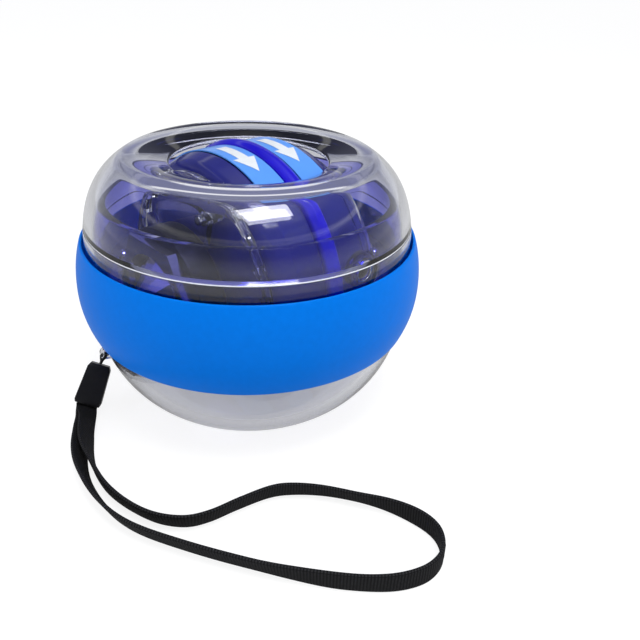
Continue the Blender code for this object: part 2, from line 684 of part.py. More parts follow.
def make_carrier(frame):
    """Plate on the arbor that carries the two pawls."""
    carrier = polar_ring("pawl_carrier", even_angles(72), lambda angle: ARBOR_RADIUS + GAP, carrier_edge,
                         CARRIER_START, CARRIER_END, "clear", frame)
    for index, angle in enumerate((PAWL_ANGLE, PAWL_ANGLE + 180)):
        centre = PAWL_PIVOT_RADIUS * level_direction(angle)
        hole = cylinder_outline(PAWL_PIN_RADIUS + GAP, CARRIER_START - GAP, CARRIER_END + GAP)
        spin = Matrix.Rotation(math.radians(angle + 180 / TINY_SIDES), 4, "Z")
        place = frame.matrix_world @ Matrix.Translation(centre) @ spin
        combine(carrier, cutter("pawl_hole_%d" % index, hole, place, TINY_SIDES), "DIFFERENCE")


def pawl_lean(tip_radius):
    """Angle between the pawl and the spoke through its pivot, for a tip at a radius."""
    share = tip_radius ** 2 - PAWL_PIVOT_RADIUS ** 2 - PAWL_LENGTH ** 2
    return math.degrees(math.acos(share / (2 * PAWL_PIVOT_RADIUS * PAWL_LENGTH)))


def tooth_face_angle():
    """Angle round the axle of the steep face that the first pawl's tip passes on its way out."""
    lean = math.radians(pawl_lean(RATCHET_TIP))
    across = PAWL_LENGTH * math.sin(lean)
    out = PAWL_PIVOT_RADIUS + PAWL_LENGTH * math.cos(lean)
    room = PAWL_WIDTH / 2 + GAP
    return PAWL_ANGLE - math.degrees(math.atan2(across, out) + room / RATCHET_TIP)


def ratchet_edge(angle):
    """Inner radius of the ratchet: a level floor, a long ramp and a steep face per tooth."""
    pitch = 360.0 / TOOTH_COUNT
    share = ((angle - tooth_face_angle()) % pitch) / pitch
    if share <= TOOTH_FLOOR_SHARE:
        return RATCHET_ROOT
    return RATCHET_ROOT - TOOTH_DEPTH * (share - TOOTH_FLOOR_SHARE) / (1 - TOOTH_FLOOR_SHARE)


def make_ratchet(frame):
    """Toothed ring on the rotor's flank, which the pawls push."""
    pitch = 360.0 / TOOTH_COUNT
    face = tooth_face_angle()
    shares = (0.02, TOOTH_FLOOR_SHARE / 2, TOOTH_FLOOR_SHARE, 0.98)
    angles = [face + pitch * (tooth + share) for tooth in range(TOOTH_COUNT) for share in shares]
    polar_ring("ratchet_ring", angles, ratchet_edge, lambda angle: RATCHET_OUTER,
               RATCHET_START, RATCHET_END, "clear", frame)
    low = -ROTOR_HALF_WIDTH - GAP
    outer = RATCHET_OUTER
    trim = band_outline(outer - TRIM_WALL, outer, low - TRIM_WIDTH, low)
    turned("trim_ring", trim, "steel", ROTOR_SIDES, frame)
    print("pawls bite after %.1f degrees" % (
        pawl_lean(RATCHET_TIP - PAWL_REST_REACH) - pawl_lean(RATCHET_TIP + PAWL_BITE)))


def make_pawl(name, angle, frame):
    """Lever with a rounded eye and its own pin in the carrier, clear of the teeth at rest."""
    lean = math.radians(pawl_lean(RATCHET_TIP - PAWL_REST_REACH))
    outline = []
    for step in range(9):
        turn = math.radians(90 + 180 * step / 8)
        outline.append((PAWL_EYE_RADIUS * math.cos(turn), PAWL_EYE_RADIUS * math.sin(turn)))
    tip = PAWL_LENGTH - PAWL_WIDTH / 2
    outline += [(tip, -PAWL_WIDTH / 2), (PAWL_LENGTH, 0), (tip, PAWL_WIDTH / 2)]
    place = Matrix.Rotation(math.radians(angle), 4, "Z") @ Matrix.Translation((PAWL_PIVOT_RADIUS, 0, 0))
    pawl = bpy.data.objects.new(name + "_pivot", None)
    bpy.context.scene.collection.objects.link(pawl)
    pawl.parent = frame
    pawl.matrix_local = place
    build = bmesh.new()
    add_plate(build, outline, PAWL_START, PAWL_END, Matrix.Rotation(-lean, 4, "Z"))
    lever = finish_object(name, mesh_from(build, name), "steel", pawl)
    pin = cylinder_outline(PAWL_PIN_RADIUS, PAWL_END - PAWL_THICKNESS / 2, CARRIER_END)
    tool = cutter(name + "_pin", pin, frame.matrix_world @ place, TINY_SIDES)
    combine(lever, tool, "UNION")


def make_rotor(frame):
    """Axle, two rotor halves with their weights, the rib between them and the sticker bands."""
    axle = [(0, -AXLE_REACH), (AXLE_TIP_RADIUS - AXLE_TIP_CHAMFER, -AXLE_REACH),
            (AXLE_TIP_RADIUS, AXLE_TIP_CHAMFER - AXLE_REACH), (AXLE_TIP_RADIUS, -AXLE_SHOULDER),
            (AXLE_RADIUS, -AXLE_SHOULDER), (AXLE_RADIUS, AXLE_SHOULDER),
            (AXLE_TIP_RADIUS, AXLE_SHOULDER), (AXLE_TIP_RADIUS, AXLE_REACH - AXLE_TIP_CHAMFER),
            (AXLE_TIP_RADIUS - AXLE_TIP_CHAMFER, AXLE_REACH), (0, AXLE_REACH)]
    turned("axle", axle, "steel", SMALL_SIDES, frame)
    rim = RIB_HALF_WIDTH + GAP
    cavity = BODY_RADIUS - ROTOR_WALL
    floor = ROTOR_HALF_WIDTH - ROTOR_SIDE_WALL
    shoulder = []
    for step in range(5):
        height = SHOULDER_START + (ROTOR_HALF_WIDTH - SHOULDER_ROUND - SHOULDER_START) * step / 4
        shoulder.append((math.sqrt(ROTOR_SWEEP ** 2 - height ** 2) - GAP, height))
    shoulder.append((shoulder[-1][0] - SHOULDER_ROUND * 0.6, ROTOR_HALF_WIDTH - SHOULDER_ROUND * 0.35))
    shoulder.append((shoulder[-1][0] - SHOULDER_ROUND, ROTOR_HALF_WIDTH))
    half = [(BODY_RADIUS, rim), (BODY_RADIUS, SHOULDER_START)] + shoulder
    half += [(HUB_RADIUS, ROTOR_HALF_WIDTH), (HUB_RADIUS, HUB_END), (BORE_RADIUS, HUB_END),
             (BORE_RADIUS, rim), (HUB_CORE, rim), (HUB_CORE, floor), (cavity - ROTOR_WALL, floor),
             (cavity, floor - ROTOR_WALL), (cavity, rim)]
    weight_outer = cavity - GAP
    weight_end = floor - WEIGHT_BACK_GAP
    weight = [(weight_outer - WEIGHT_WALL, rim + GAP), (weight_outer, rim + GAP),
              (weight_outer, weight_end - WEIGHT_CHAMFER), (weight_outer - WEIGHT_CHAMFER, weight_end),
              (weight_outer - WEIGHT_WALL, weight_end)]
    sticker = band_outline(BAND_RADIUS - STICKER_THICKNESS, BAND_RADIUS, rim, BAND_HALF_WIDTH)
    for side, label in ((1, "left"), (-1, "right")):
        turned("rotor_half_" + label, mirrored(half, side), "rotor", ROTOR_SIDES, frame)
        turned("weight_ring_" + label, mirrored(weight, side), "steel", ROTOR_SIDES, frame)
        turned("sticker_band_" + label, mirrored(sticker, side), "sticker", ROTOR_SIDES, frame)
    crest = RIB_RADIUS - RIB_HALF_WIDTH / 2
    rib = [(RIB_RADIUS - RIB_SEAT_DEPTH, -RIB_HALF_WIDTH), (crest, -RIB_HALF_WIDTH),
           (RIB_RADIUS, -RIB_HALF_WIDTH / 3), (RIB_RADIUS, RIB_HALF_WIDTH / 3),
           (crest, RIB_HALF_WIDTH), (RIB_RADIUS - RIB_SEAT_DEPTH, RIB_HALF_WIDTH)]
    turned("mid_rib", rib, "rib", ROTOR_SIDES, frame)


def mirrored(profile, side):
    """The outline, or its mirror image across the rotor's middle."""
    return [(radius, side * height) for radius, height in profile]


def smooth_route(points, count):
    """Evenly spaced points on a Catmull-Rom curve through the route's own points."""
    route = [Vector(point) for point in points]
    padded = [2 * route[0] - route[1]] + route + [2 * route[-1] - route[-2]]
    fine = []
    for a, b, c, d in zip(padded, padded[1:], padded[2:], padded[3:]):
        for step in range(12):
            t = step / 12
            fine.append(0.5 * (2 * b + (c - a) * t + (2 * a - 5 * b + 4 * c - d) * t * t
                               + (3 * b - a - 3 * c + d) * t * t * t))
    fine.append(route[-1])
    lengths = [0.0]
    for first, second in zip(fine, fine[1:]):
        lengths.append(lengths[-1] + (second - first).length)
    even, index = [], 0
    for step in range(count):
        goal = lengths[-1] * step / (count - 1)
        while index < len(fine) - 2 and lengths[index + 1] < goal:
            index += 1
        span = lengths[index + 1] - lengths[index]
        even.append(fine[index].lerp(fine[index + 1], min((goal - lengths[index]) / span, 1.0)))
    return even, lengths[-1]


def clip_frame():
    """The clip's long direction, its width in line with the leaning webbing, and its depth."""
    length = (CLIP_TOP - CLIP_BASE).normalized()
    right = Vector((-length.x, -length.y, 0)).cross(Vector((0, 0, 1))).normalized()
    lean = math.radians(ROLL_OUT[0][1])
    wide = Vector((0, 0, math.cos(lean))) + right * math.sin(lean)
    wide = (wide - length * wide.dot(length)).normalized()
    return length, wide, length.cross(wide)


def make_clip():
    """Tapered plastic clip that joins the string to the webbing."""
    length, wide, deep = clip_frame()
    reach = (CLIP_TOP - CLIP_BASE).length
    build = bmesh.new()
    w, t, r = CLIP_WIDTH / 2, CLIP_THICKNESS / 2, CLIP_ROUND
    corners = ((w - r, t), (w, t - r), (w, r - t), (w - r, -t),
               (r - w, -t), (-w, r - t), (-w, t - r), (r - w, t))
    rings = []
    for share, size in ((0.0, 0.92), (0.07, 1.0), (0.90, 0.86), (1.0, 0.70)):
        centre = CLIP_BASE + length * reach * share
        ring = []
        for across, through in corners:
            ring.append(build.verts.new(centre + wide * across * size + deep * through * size))
        rings.append(ring)
    for first, second in zip(rings, rings[1:]):
        for index in range(8):
            after = (index + 1) % 8
            build.faces.new([first[index], first[after], second[after], second[index]])
    build.faces.new(rings[0])
    build.faces.new(rings[-1])
    finish_object("strap_clip", mesh_from(build, "strap_clip"), "black")


def keyed(keys, place):
    """Value at a place along the keys, eased from each one to the next."""
    for (start, low), (end, high) in zip(keys, keys[1:]):
        if place < end:
            share = max(place - start, 0.0) / (end - start)
            return low + (high - low) * share * share * (3 - 2 * share)
    return keys[-1][1]


def webbing_line():
    """Middle points of the webbing and its lean at each, from the clip and back into it."""
    length, _, deep = clip_frame()
    base = CLIP_BASE - length * WEBBING_START_GAP
    first, last = base - deep * WEBBING_LAYER_OFFSET, base + deep * WEBBING_LAYER_OFFSET
    route = [(first.x, first.y, 0)] + [(x, y, 0) for x, y in WEBBING_ROUTE] + [(last.x, last.y, 0)]
    path, total = smooth_route(route, WEBBING_RINGS)
    leans = []
    for index, point in enumerate(path):
        gone = total * index / (len(path) - 1)
        out = gone < total / 2
        lean = math.radians(keyed(ROLL_OUT if out else ROLL_BACK, min(gone, total - gone)))
        rest = WEBBING_WIDTH / 2 * abs(math.cos(lean)) + WEBBING_THICKNESS / 2 * abs(math.sin(lean))
        point.z = rest + GAP / 4 + keyed(LIFT_OUT if out else LIFT_BACK, min(gone, total - gone))
        leans.append(lean)
    print("webbing length %.1f mm" % (1000 * total))
    return path, leans, total


def make_webbing():
    """Flat strap: it leaves the clip leaning over and stands on its edge round the loop."""
    path, leans, total = webbing_line()
    length = clip_frame()[0]
    half, thick = WEBBING_WIDTH / 2, WEBBING_THICKNESS / 2
    build = bmesh.new()
    rings = []
    for index, point in enumerate(path):
        heading = (path[min(index + 1, len(path) - 1)] - path[max(index - 1, 0)]).normalized()
        gone = total * index / (len(path) - 1)
        turned_away = min(min(gone, total - gone) / WEBBING_BEND, 1.0)
        heading = (-length if gone < total / 2 else length).lerp(heading, turned_away).normalized()
        right = heading.cross(Vector((0, 0, 1))).normalized()
        up = Vector((0, 0, math.cos(leans[index]))) + right * math.sin(leans[index])
        up = (up - heading * up.dot(heading)).normalized()
        face = heading.cross(up)
        ring = []
        for across, through in ((-half, -thick), (half, -thick), (half, thick), (-half, thick)):
            ring.append(build.verts.new(point + up * across + face * through))
        rings.append(ring)
    for first, second in zip(rings, rings[1:]):
        for index in range(4):
            after = (index + 1) % 4
            build.faces.new([first[index], first[after], second[after], second[index]])
    build.faces.new(rings[0])
    build.faces.new(rings[-1])
    finish_object("strap_webbing", mesh_from(build, "strap_webbing"), "strap")


def make_string():
    """Thin cord looped through the eyelet, both ends held in the clip."""
    length, _, deep = clip_frame()
    top = CLIP_TOP + length * GAP
    points = [top + deep * STRING_SIDE_OFFSET] + [Vector(p) for p in STRING_ROUTE]
    points.append(top - deep * STRING_SIDE_OFFSET)
    path, total = smooth_route(points, STRING_RINGS)
    curve = bpy.data.curves.new("strap_string", "CURVE")
    curve.dimensions = "3D"
    curve.bevel_depth = STRING_RADIUS
    curve.bevel_resolution = 2
    curve.use_fill_caps = True
    line = curve.splines.new("POLY")
    line.points.add(len(path) - 1)
    for slot, point in zip(line.points, path):
        slot.co = (*point, 1.0)
    curve.materials.append(FINISH["strap"])
    cord = bpy.data.objects.new("strap_string", curve)
    bpy.context.scene.collection.objects.link(cord)
    print("string length %.1f mm" % (1000 * total))


clear_scene()
FINISH = finishes()
make_upper_shell()
make_lower_shell()
make_grip_band()
make_race_rings()
make_ring()
AXLE_FRAME = make_axle_frame()
make_bearings(AXLE_FRAME)
make_rotor(AXLE_FRAME)
make_ratchet(AXLE_FRAME)
make_spring_set(AXLE_FRAME)
make_pawl("pawl_a", PAWL_ANGLE, AXLE_FRAME)
make_pawl("pawl_b", PAWL_ANGLE + 180, AXLE_FRAME)
make_clip()
make_webbing()
make_string()
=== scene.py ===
"""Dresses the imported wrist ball: clear shell, tinted liner, rotor, spring set, grip and strap.

Metres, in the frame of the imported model. The origin is the middle of the flat foot, +Z is
up, and the rotor's axle lies level at the height of the ring's groove.
"""
import json
import math

import bmesh
import bpy
from bpy.props import FloatProperty, FloatVectorProperty, IntProperty, PointerProperty
from mathutils import Matrix, Vector


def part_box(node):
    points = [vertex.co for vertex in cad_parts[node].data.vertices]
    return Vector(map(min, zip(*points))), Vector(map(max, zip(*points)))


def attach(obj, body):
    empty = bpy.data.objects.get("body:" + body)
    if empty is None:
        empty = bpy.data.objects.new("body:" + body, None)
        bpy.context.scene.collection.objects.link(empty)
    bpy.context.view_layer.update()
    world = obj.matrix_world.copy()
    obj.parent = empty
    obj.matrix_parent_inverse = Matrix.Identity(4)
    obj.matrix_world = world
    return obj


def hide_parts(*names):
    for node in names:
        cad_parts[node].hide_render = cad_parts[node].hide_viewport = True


bl_info = {
    "name": "Wrist Ball",
    "version": (1, 0, 0),
    "blender": (4, 5, 0),
    "location": "View3D > Sidebar > Wrist Ball",
    "description": "Builds the visible pieces of a gyroscopic wrist ball round its packed frame",
    "category": "Add Mesh",
}

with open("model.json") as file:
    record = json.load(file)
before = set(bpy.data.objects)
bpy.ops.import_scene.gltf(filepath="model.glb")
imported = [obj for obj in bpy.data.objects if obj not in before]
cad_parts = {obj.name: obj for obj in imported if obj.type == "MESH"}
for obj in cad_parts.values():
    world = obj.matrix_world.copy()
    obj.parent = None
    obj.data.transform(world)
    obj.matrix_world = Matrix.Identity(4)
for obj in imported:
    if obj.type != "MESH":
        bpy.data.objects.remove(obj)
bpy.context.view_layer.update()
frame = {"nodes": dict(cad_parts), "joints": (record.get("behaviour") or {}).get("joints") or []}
JOINTS = {joint["name"]: joint for joint in frame["joints"]}

# Sizes that the frame gives
CENTRE = Vector(JOINTS["rotor_spin"]["pos_m"])
AXLE = Vector(JOINTS["rotor_spin"]["axis"]).normalized()
RACE_HEIGHT = CENTRE.z
SHELL_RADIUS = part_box("lower_shell")[1].y
SEAM_HEIGHT = (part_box("lower_shell")[1].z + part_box("upper_shell")[0].z) / 2
GRIP_LOW, GRIP_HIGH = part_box("grip_band")[0].z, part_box("grip_band")[1].z
LINER_LOW, LINER_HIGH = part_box("race_ring_lower")[0].z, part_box("race_ring_upper")[1].z

# Clearances and walls
GAP = 0.0003
SHELL_WALL = 0.0019
FLOOR_THICKNESS = 0.0015
FLOOR_CHAMFER = 0.0010
LINER_WALL = 0.0010
FOOT_RADIUS = 0.0191         # of the flat foot, out to the bowl's curve
FOOT_CHAMFER = 0.0005
ROTOR_PROUD = 0.0015         # the rib's height over the lip
MOUTH_CLEARANCE = 0.0004
LIP_JOIN_SHARE = 0.74        # share of the shell's radius at which the lip starts
LIP_JOIN_DROP = 0.0005       # from the lip's crest down to where it starts
LIP_HANDLE = 0.0027          # length of the handles of the lip's curve
LIP_SLOPE = 24.0             # degrees down into the mouth
EDGE_DROP = 0.0023           # from the crest to the middle of the edge's round
EDGE_ROUND = 0.0005
UNDERSIDE_DROP = 0.0034      # from the crest to the end of the dome's inner face
UNDERSIDE_HANDLE = 0.0026
UNDERSIDE_SLOPE = 13.0       # degrees
SHOULDER_EXPONENT = 3.4      # of the super-ellipse over the ball's middle
BELLY_EXPONENT = 2.5         # of the one under it
GRIP_EDGE = 0.0005           # the band's thickness at its edges
GRIP_CROWN = 0.0013          # how much thicker its middle is
SEAM_DEPTH = 0.0008
SEAM_SETBACK = GAP / 6       # the pale ring of painted seam highlight lies this far inside the shell's face
SEAM_ROUND = GAP / 4
SEAM_CLEARANCE = 0.00001

# Rounds on the pieces' edges
FINE_ROUND = 0.0001
SMALL_ROUND = 0.0002
DRUM_ROUND = 0.0003
SOFT_ROUND = 0.0004

# Eyelet and boss
EYELET_ANGLE = 195.5         # degrees round Z
EYELET_HEIGHT = 0.0125
EYELET_THICKNESS = 0.0012
EYELET_HOLE_RADIUS = 0.0006
EYELET_RIM = 0.0006
BOSS_ANGLE = -49.0           # degrees round Z
BOSS_RISE = 0.0093           # over the ball's middle
BOSS_RADIUS = 0.0034
BOSS_DEPTH = 0.0019
FERRULE_RADIUS = 0.0022
FERRULE_WALL = 0.0006
FERRULE_DEPTH = 0.0016

# Rotor, from its middle outwards along the axle
RIB_RADIUS = 0.0262
RIB_HALF_WIDTH = 0.0017
RIB_SEAT_DEPTH = 0.0033
BAND_RADIUS = 0.0253
BAND_HALF_WIDTH = 0.0079
STICKER_THICKNESS = 0.00025
ROTOR_SWEEP = math.hypot(BAND_RADIUS, BAND_HALF_WIDTH + GAP)
ROTOR_HALF_WIDTH = 0.0120
ROTOR_WALL = 0.00145
ROTOR_SIDE_WALL = 0.0016
SHOULDER_ROUND = 0.0012
SHOULDER_CUT = (0.6, 0.35)   # shares of the round: inwards and downwards to its middle
HUB_RADIUS = 0.0045
HUB_PROUD = 0.0009           # out of the rotor's flank
HUB_CORE = 0.0040            # radius of the hub inside the rotor
AXLE_RADIUS = 0.0015
AXLE_TIP_RADIUS = 0.0010
AXLE_ROUND = 0.0003
AXLE_REACH = 0.0304
AXLE_SETBACK = 0.0005        # from the cone's end to the axle's shoulder
AXLE_HOLE = 0.0018           # radius, in the cones and the rotor's hub
RATCHET_START = ROTOR_HALF_WIDTH + GAP
RATCHET_WIDTH = 0.0015
RATCHET_END = RATCHET_START + RATCHET_WIDTH
RATCHET_OUTER = math.sqrt(ROTOR_SWEEP ** 2 - RATCHET_END ** 2) - GAP
RATCHET_WALL = 0.0012
TOOTH_DEPTH = 0.0012
TOOTH_COUNT = 24
# Outline of a tooth: share of the pitch, and share of the depth at it
TOOTH_STATIONS = ((0.5, 0.02), (0.75, 0.5), (0.98, 1.0), (1.0, 0.02))
TOOTH_FACE_ANGLE = 59.6      # degrees round the axle, of the first tooth's steep face
TRIM_WIDTH = 0.0009
TRIM_WALL = 0.0019
SIDES = ((1, "left"), (-1, "right"))     # the spring's end of the axle is the left one

# Printed films and arrows
FILM_SPAN = 76.0             # degrees of the rotor that each film covers
FILM_MIDDLE = 95.0           # degrees round the axle from level to the first film's middle
ARROW_TIP_ANGLE = 69.0       # degrees round the axle
ARROW_CENTRE = 0.0049        # from the rotor's middle along the axle
ARROW_HEAD_SHARE = 0.40      # of the arrow's length
ARROW_HEAD_HALF_WIDTH = 0.0024
ARROW_SHAFT_HALF_WIDTH = 0.0011
ARROW_TIP_HALF_WIDTH = 0.00003
ARROW_LIFT = 0.00003         # off the film
ARROW_THICKNESS = 0.00006

# Ring, bearings and spring set
RING_CLEARANCE = 0.0004
RING_WALL = 0.0020
RING_INNER = ROTOR_SWEEP + RING_CLEARANCE
RING_OUTER = RING_INNER + RING_WALL
RING_STEP = 0.75             # degrees
LIP_INNER = RING_OUTER + GAP
GROOVE_CLEARANCE = 0.0002
GROOVE_HALF = AXLE_TIP_RADIUS + GROOVE_CLEARANCE
RACE_LIP_THICKNESS = 0.0015
RING_HALF_HEIGHT = 0.0030
LUG_RADIUS = 0.0017
LUG_INSET = 0.0007
LUG_CENTRE = RING_INNER - LUG_INSET
LUG_ANGLE = 38.0             # degrees from the axle
BUSH_HOLE = 0.00265
SCREW_RADIUS = 0.0005
SCREW_HEAD_RADIUS = 0.00115
SCREW_HEAD_HEIGHT = 0.0007
SCREW_RECESS_RADIUS = 0.0004
SCREW_SHARES = (0.5, 0.7, 0.4)   # of the head: its side's height, top radius and recess floor
SCREW_TAIL = 0.0006          # from the ring's underside to the screw's end
CARRIER_END = 0.0153         # from the rotor's middle along the axle
CARRIER_CLEARANCE = 0.0005
HOUSING_START = CARRIER_END + CARRIER_CLEARANCE
HOUSING_RADIUS = 0.0134
HOUSING_WALL = 0.0012
ARBOR_RADIUS = 0.00355
NUT_RADIUS = 0.0130
NUT_BORE = 0.0090
NUT_THICKNESS = 0.0018
NUT_STEP = 2                 # degrees
NUT_END = math.sqrt((RING_INNER - GAP) ** 2 - NUT_RADIUS ** 2)
NUT_START = NUT_END - NUT_THICKNESS
HOUSING_END = NUT_START - GAP
CONE_END = RING_INNER - GAP
CONE_TOP_RADIUS = 0.0034
CONE_NECK = 0.0009
CONE_BASE_RADIUS = 0.0080
CONE_CLEARANCE = 0.0005      # over GAP, between the rotor's hub and the right cone
CONE_FACETS = 16

# Wrist strap
CLIP_BASE = Vector((-0.0344, -0.0129, 0.0030))
CLIP_TOP = Vector((-0.0316, -0.0088, 0.0100))
CLIP_WIDTH = 0.0054
CLIP_THICKNESS = 0.0040
CLIP_ROUND = 0.0005
# Size of the clip's section by share of its length
CLIP_TAPER = ((0.0, 0.92), (0.07, 1.0), (0.90, 0.86), (1.0, 0.70))
WEBBING_WIDTH = 0.0042
WEBBING_THICKNESS = 0.0007
WEBBING_LAYER_OFFSET = 0.0005 # of each layer from the clip's middle
WEBBING_START_GAP = 0.0004
WEBBING_FLOOR_GAP = GAP / 4
WEBBING_BEND = 0.0060        # distance over which it turns out of the clip's direction
STRING_RADIUS = 0.0003
STRING_SIDE_OFFSET = 0.0009

# The strap's route on the floor, from the clip round the loop and back into the clip
WEBBING_ROUTE = (
    (-0.0344, -0.0170), (-0.0341, -0.0216), (-0.0334, -0.0268), (-0.0319, -0.0320),
    (-0.0294, -0.0371), (-0.0262, -0.0417), (-0.0226, -0.0454), (-0.0182, -0.0484),
    (-0.0112, -0.0518), (-0.0041, -0.0548), (0.0046, -0.0580), (0.0132, -0.0604),
    (0.0204, -0.0612), (0.0256, -0.0603), (0.0289, -0.0582), (0.0306, -0.0552),
    (0.0306, -0.0518), (0.0288, -0.0487), (0.0252, -0.0457), (0.0203, -0.0431),
    (0.0130, -0.0405), (0.0070, -0.0396), (0.0026, -0.0401), (-0.0030, -0.0427),
    (-0.0078, -0.0453), (-0.0120, -0.0463), (-0.0170, -0.0451), (-0.0220, -0.0418),
    (-0.0263, -0.0374), (-0.0295, -0.0322), (-0.0318, -0.0270), (-0.0330, -0.0220),
    (-0.0337, -0.0170),
)
# Lean of the webbing from upright in degrees, by distance from each of its ends
ROLL_OUT = ((0.0, 38), (0.012, 38), (0.024, 24), (0.060, 22), (0.076, 8), (0.090, 0))
ROLL_BACK = ((0.0, -38), (0.009, -38), (0.020, -10), (0.036, -22), (0.060, -20), (0.074, -27),
             (0.088, -3))
# Height of the webbing over its resting height, by distance from each of its ends
LIFT_OUT = ((0.0, 0.00045), (0.005, 0.0))
LIFT_BACK = ((0.0, 0.00105), (0.005, 0.00075), (0.012, 0.00075), (0.019, 0.0))
# The string's loop, from the clip up through the eyelet and back
STRING_ROUTE = (
    (-0.03093, -0.00966, 0.01150), (-0.03037, -0.00961, 0.01208), (-0.03012, -0.00928, 0.01248),
    (-0.03022, -0.00884, 0.01250), (-0.03034, -0.00841, 0.01250), (-0.03046, -0.00798, 0.01250),
    (-0.03060, -0.00754, 0.01248), (-0.03098, -0.00740, 0.01208), (-0.03149, -0.00764, 0.01150),
)

# Facets round a piece and steps along its outline; of two numbers the second is the inner face's
SHELL_SIDES = 160
ROTOR_SIDES = 144
SMALL_SIDES = 48
HOLE_SIDES = 32
SCREW_SIDES = 24
STRING_SIDES = 16
DOME_STEPS = (44, 36)
LIP_STEPS = (24, 20)
EDGE_STEPS = 16
BOWL_STEPS = (44, 38)
EYELET_STEPS = 24
GRIP_STEPS = 33
LINER_LOW_STEPS = (18, 14)
LINER_HIGH_STEPS = (30, 26)
SHOULDER_STEPS = 12
FILM_STEPS = 40
ARROW_HEAD_STEPS = 8
ARROW_SHAFT_STEPS = 12
SELVEDGE_STEPS = 6
CORNER_STEPS = 3
ROUTE_STEPS = 12             # between two points of a route
WEBBING_RINGS = 420
STRING_RINGS = 90
CORNER_SHARE = 0.4           # of each side of a corner, the most that its round takes up
NEARLY_STRAIGHT = 2.6        # radians; a wider corner stays as it is
MERGE_DISTANCE = 1e-7
TINY = 1e-9

# Shades of the studio by height, from the horizon (0) to straight up (1)
STUDIO_SHADES = (
    (0.0, (0.66, 0.67, 0.70)), (0.12, (0.52, 0.53, 0.58)), (0.30, (0.24, 0.25, 0.36)),
    (0.51, (0.20, 0.21, 0.34)), (0.54, (0.95, 0.95, 0.97)), (0.57, (0.95, 0.95, 0.97)),
    (0.60, (0.20, 0.21, 0.32)), (0.78, (0.20, 0.21, 0.32)), (0.88, (0.46, 0.47, 0.54)),
    (1.0, (0.90, 0.90, 0.92)),
)

# Camera, from the photograph: the image is 640 x 640 pixels
FRAME_PIXELS = 640
FOCAL_PIXELS = 691.97
SENSOR_WIDTH_MM = 36.0
CAMERA_PLACE = Vector((0.0, -0.13320, 0.09069))
CAMERA_PITCH = 0.5161
CAMERA_YAW = 0.1122
CAMERA_ROLL = 0.0382
CAMERA_CLIP = 0.005

# Lamps and floor
LAMP_TARGET = (0, 0, 0.03)
KEY_PLACE = (0.05, -0.12, 0.40)
KEY_SIZE = (0.17, 0.12)
SIDE_PLACES = {"left": (-0.35, -0.20, 0.15), "right": (0.35, -0.10, 0.20)}
SIDE_SIZE = (0.10, 0.30)
ROOM_TINT = (0.94, 0.96, 1.0, 1)
FLOOR_DROP = 0.00002         # under the foot
FLOOR_GLOW = 1.17            # strength at which the floor's white reads as white
FLOOR_GLOW_DIMMED = -0.6     # added to it in reflections
FLOOR_GLOW_SHARE = 0.72      # the rest of the floor takes light and shadow


# Sizes and colours that a user may change

class WristBallShell(bpy.types.PropertyGroup):
    """The clear shell, its liner and the grip."""
    clear_tint: FloatVectorProperty(
        name="Clear tint", description="Tint of the clear plastic", subtype="COLOR",
        default=(0.93, 0.94, 0.985), min=0, max=1)
    liner_colour: FloatVectorProperty(
        name="Liner", description="Colour of the tinted liner", subtype="COLOR",
        default=(0.08, 0.07, 0.92), min=0, max=1)
    liner_density: FloatProperty(
        name="Liner density", description="How fast the liner's colour deepens, per metre",
        default=800.0, min=0.0)
    grip_colour: FloatVectorProperty(
        name="Grip", description="Colour of the silicone band", subtype="COLOR",
        default=(0.0, 0.165, 0.70), min=0, max=1)
    grip_round: FloatProperty(
        name="Edge round", description="Round on the edges of the grip band", unit="LENGTH",
        default=0.0004, min=0.0, max=0.001)


class WristBallRotor(bpy.types.PropertyGroup):
    """The rotor and what turns with it."""
    body_colour: FloatVectorProperty(
        name="Body", description="Colour of the rotor's halves", subtype="COLOR",
        default=(0.015, 0.018, 0.17), min=0, max=1)
    rib_colour: FloatVectorProperty(
        name="Rib", description="Colour of the middle rib", subtype="COLOR",
        default=(0.006, 0.0, 0.52), min=0, max=1)
    film_colour: FloatVectorProperty(
        name="Film", description="Colour of the sticker bands", subtype="COLOR",
        default=(0.085, 0.30, 0.85), min=0, max=1)
    arrow_count: IntProperty(
        name="Arrows", description="Printed films, with an arrow each, on each half",
        default=2, min=1, max=4)
    arrow_length: FloatProperty(
        name="Arrow length", description="Length of an arrow round the band", unit="LENGTH",
        default=0.0118, min=0.004, max=0.02)


class WristBallStrap(bpy.types.PropertyGroup):
    """The wrist strap and its clip."""
    strap_colour: FloatVectorProperty(
        name="Webbing", description="Colour of the webbing", subtype="COLOR",
        default=(0.012, 0.012, 0.013), min=0, max=1)
    rib_pitch: FloatProperty(
        name="Weave pitch", description="Distance between the webbing's cross ribs",
        unit="LENGTH", default=0.00052, min=0.0002, max=0.002)


class WristBallStage(bpy.types.PropertyGroup):
    """Floor, light and background."""
    floor_size: FloatProperty(
        name="Floor", description="Width of the floor", unit="LENGTH", default=6.0, min=1.0)
    key_power: FloatProperty(
        name="Key", description="Power of the overhead light in watts", default=0.9, min=0.0)
    side_power: FloatProperty(
        name="Side", description="Power of each side light in watts", default=0.32, min=0.0)
    ambient: FloatProperty(
        name="Ambient", description="Strength of the world on matt surfaces", default=0.6, min=0.0)


# Nodes

def add_node(tree, kind, inputs=None, **settings):
    """A node with its settings, and values on inputs that nothing is linked to."""
    node = tree.nodes.new(kind)
    for name, value in settings.items():
        setattr(node, name, value)
    for socket, value in (inputs or {}).items():
        node.inputs[socket].default_value = value
    return node


def join(tree, *links):
    """Link nodes, each link given as (node, output, node, input)."""
    for source, output, target, socket in links:
        tree.links.new(source.outputs[output], target.inputs[socket])


# Materials

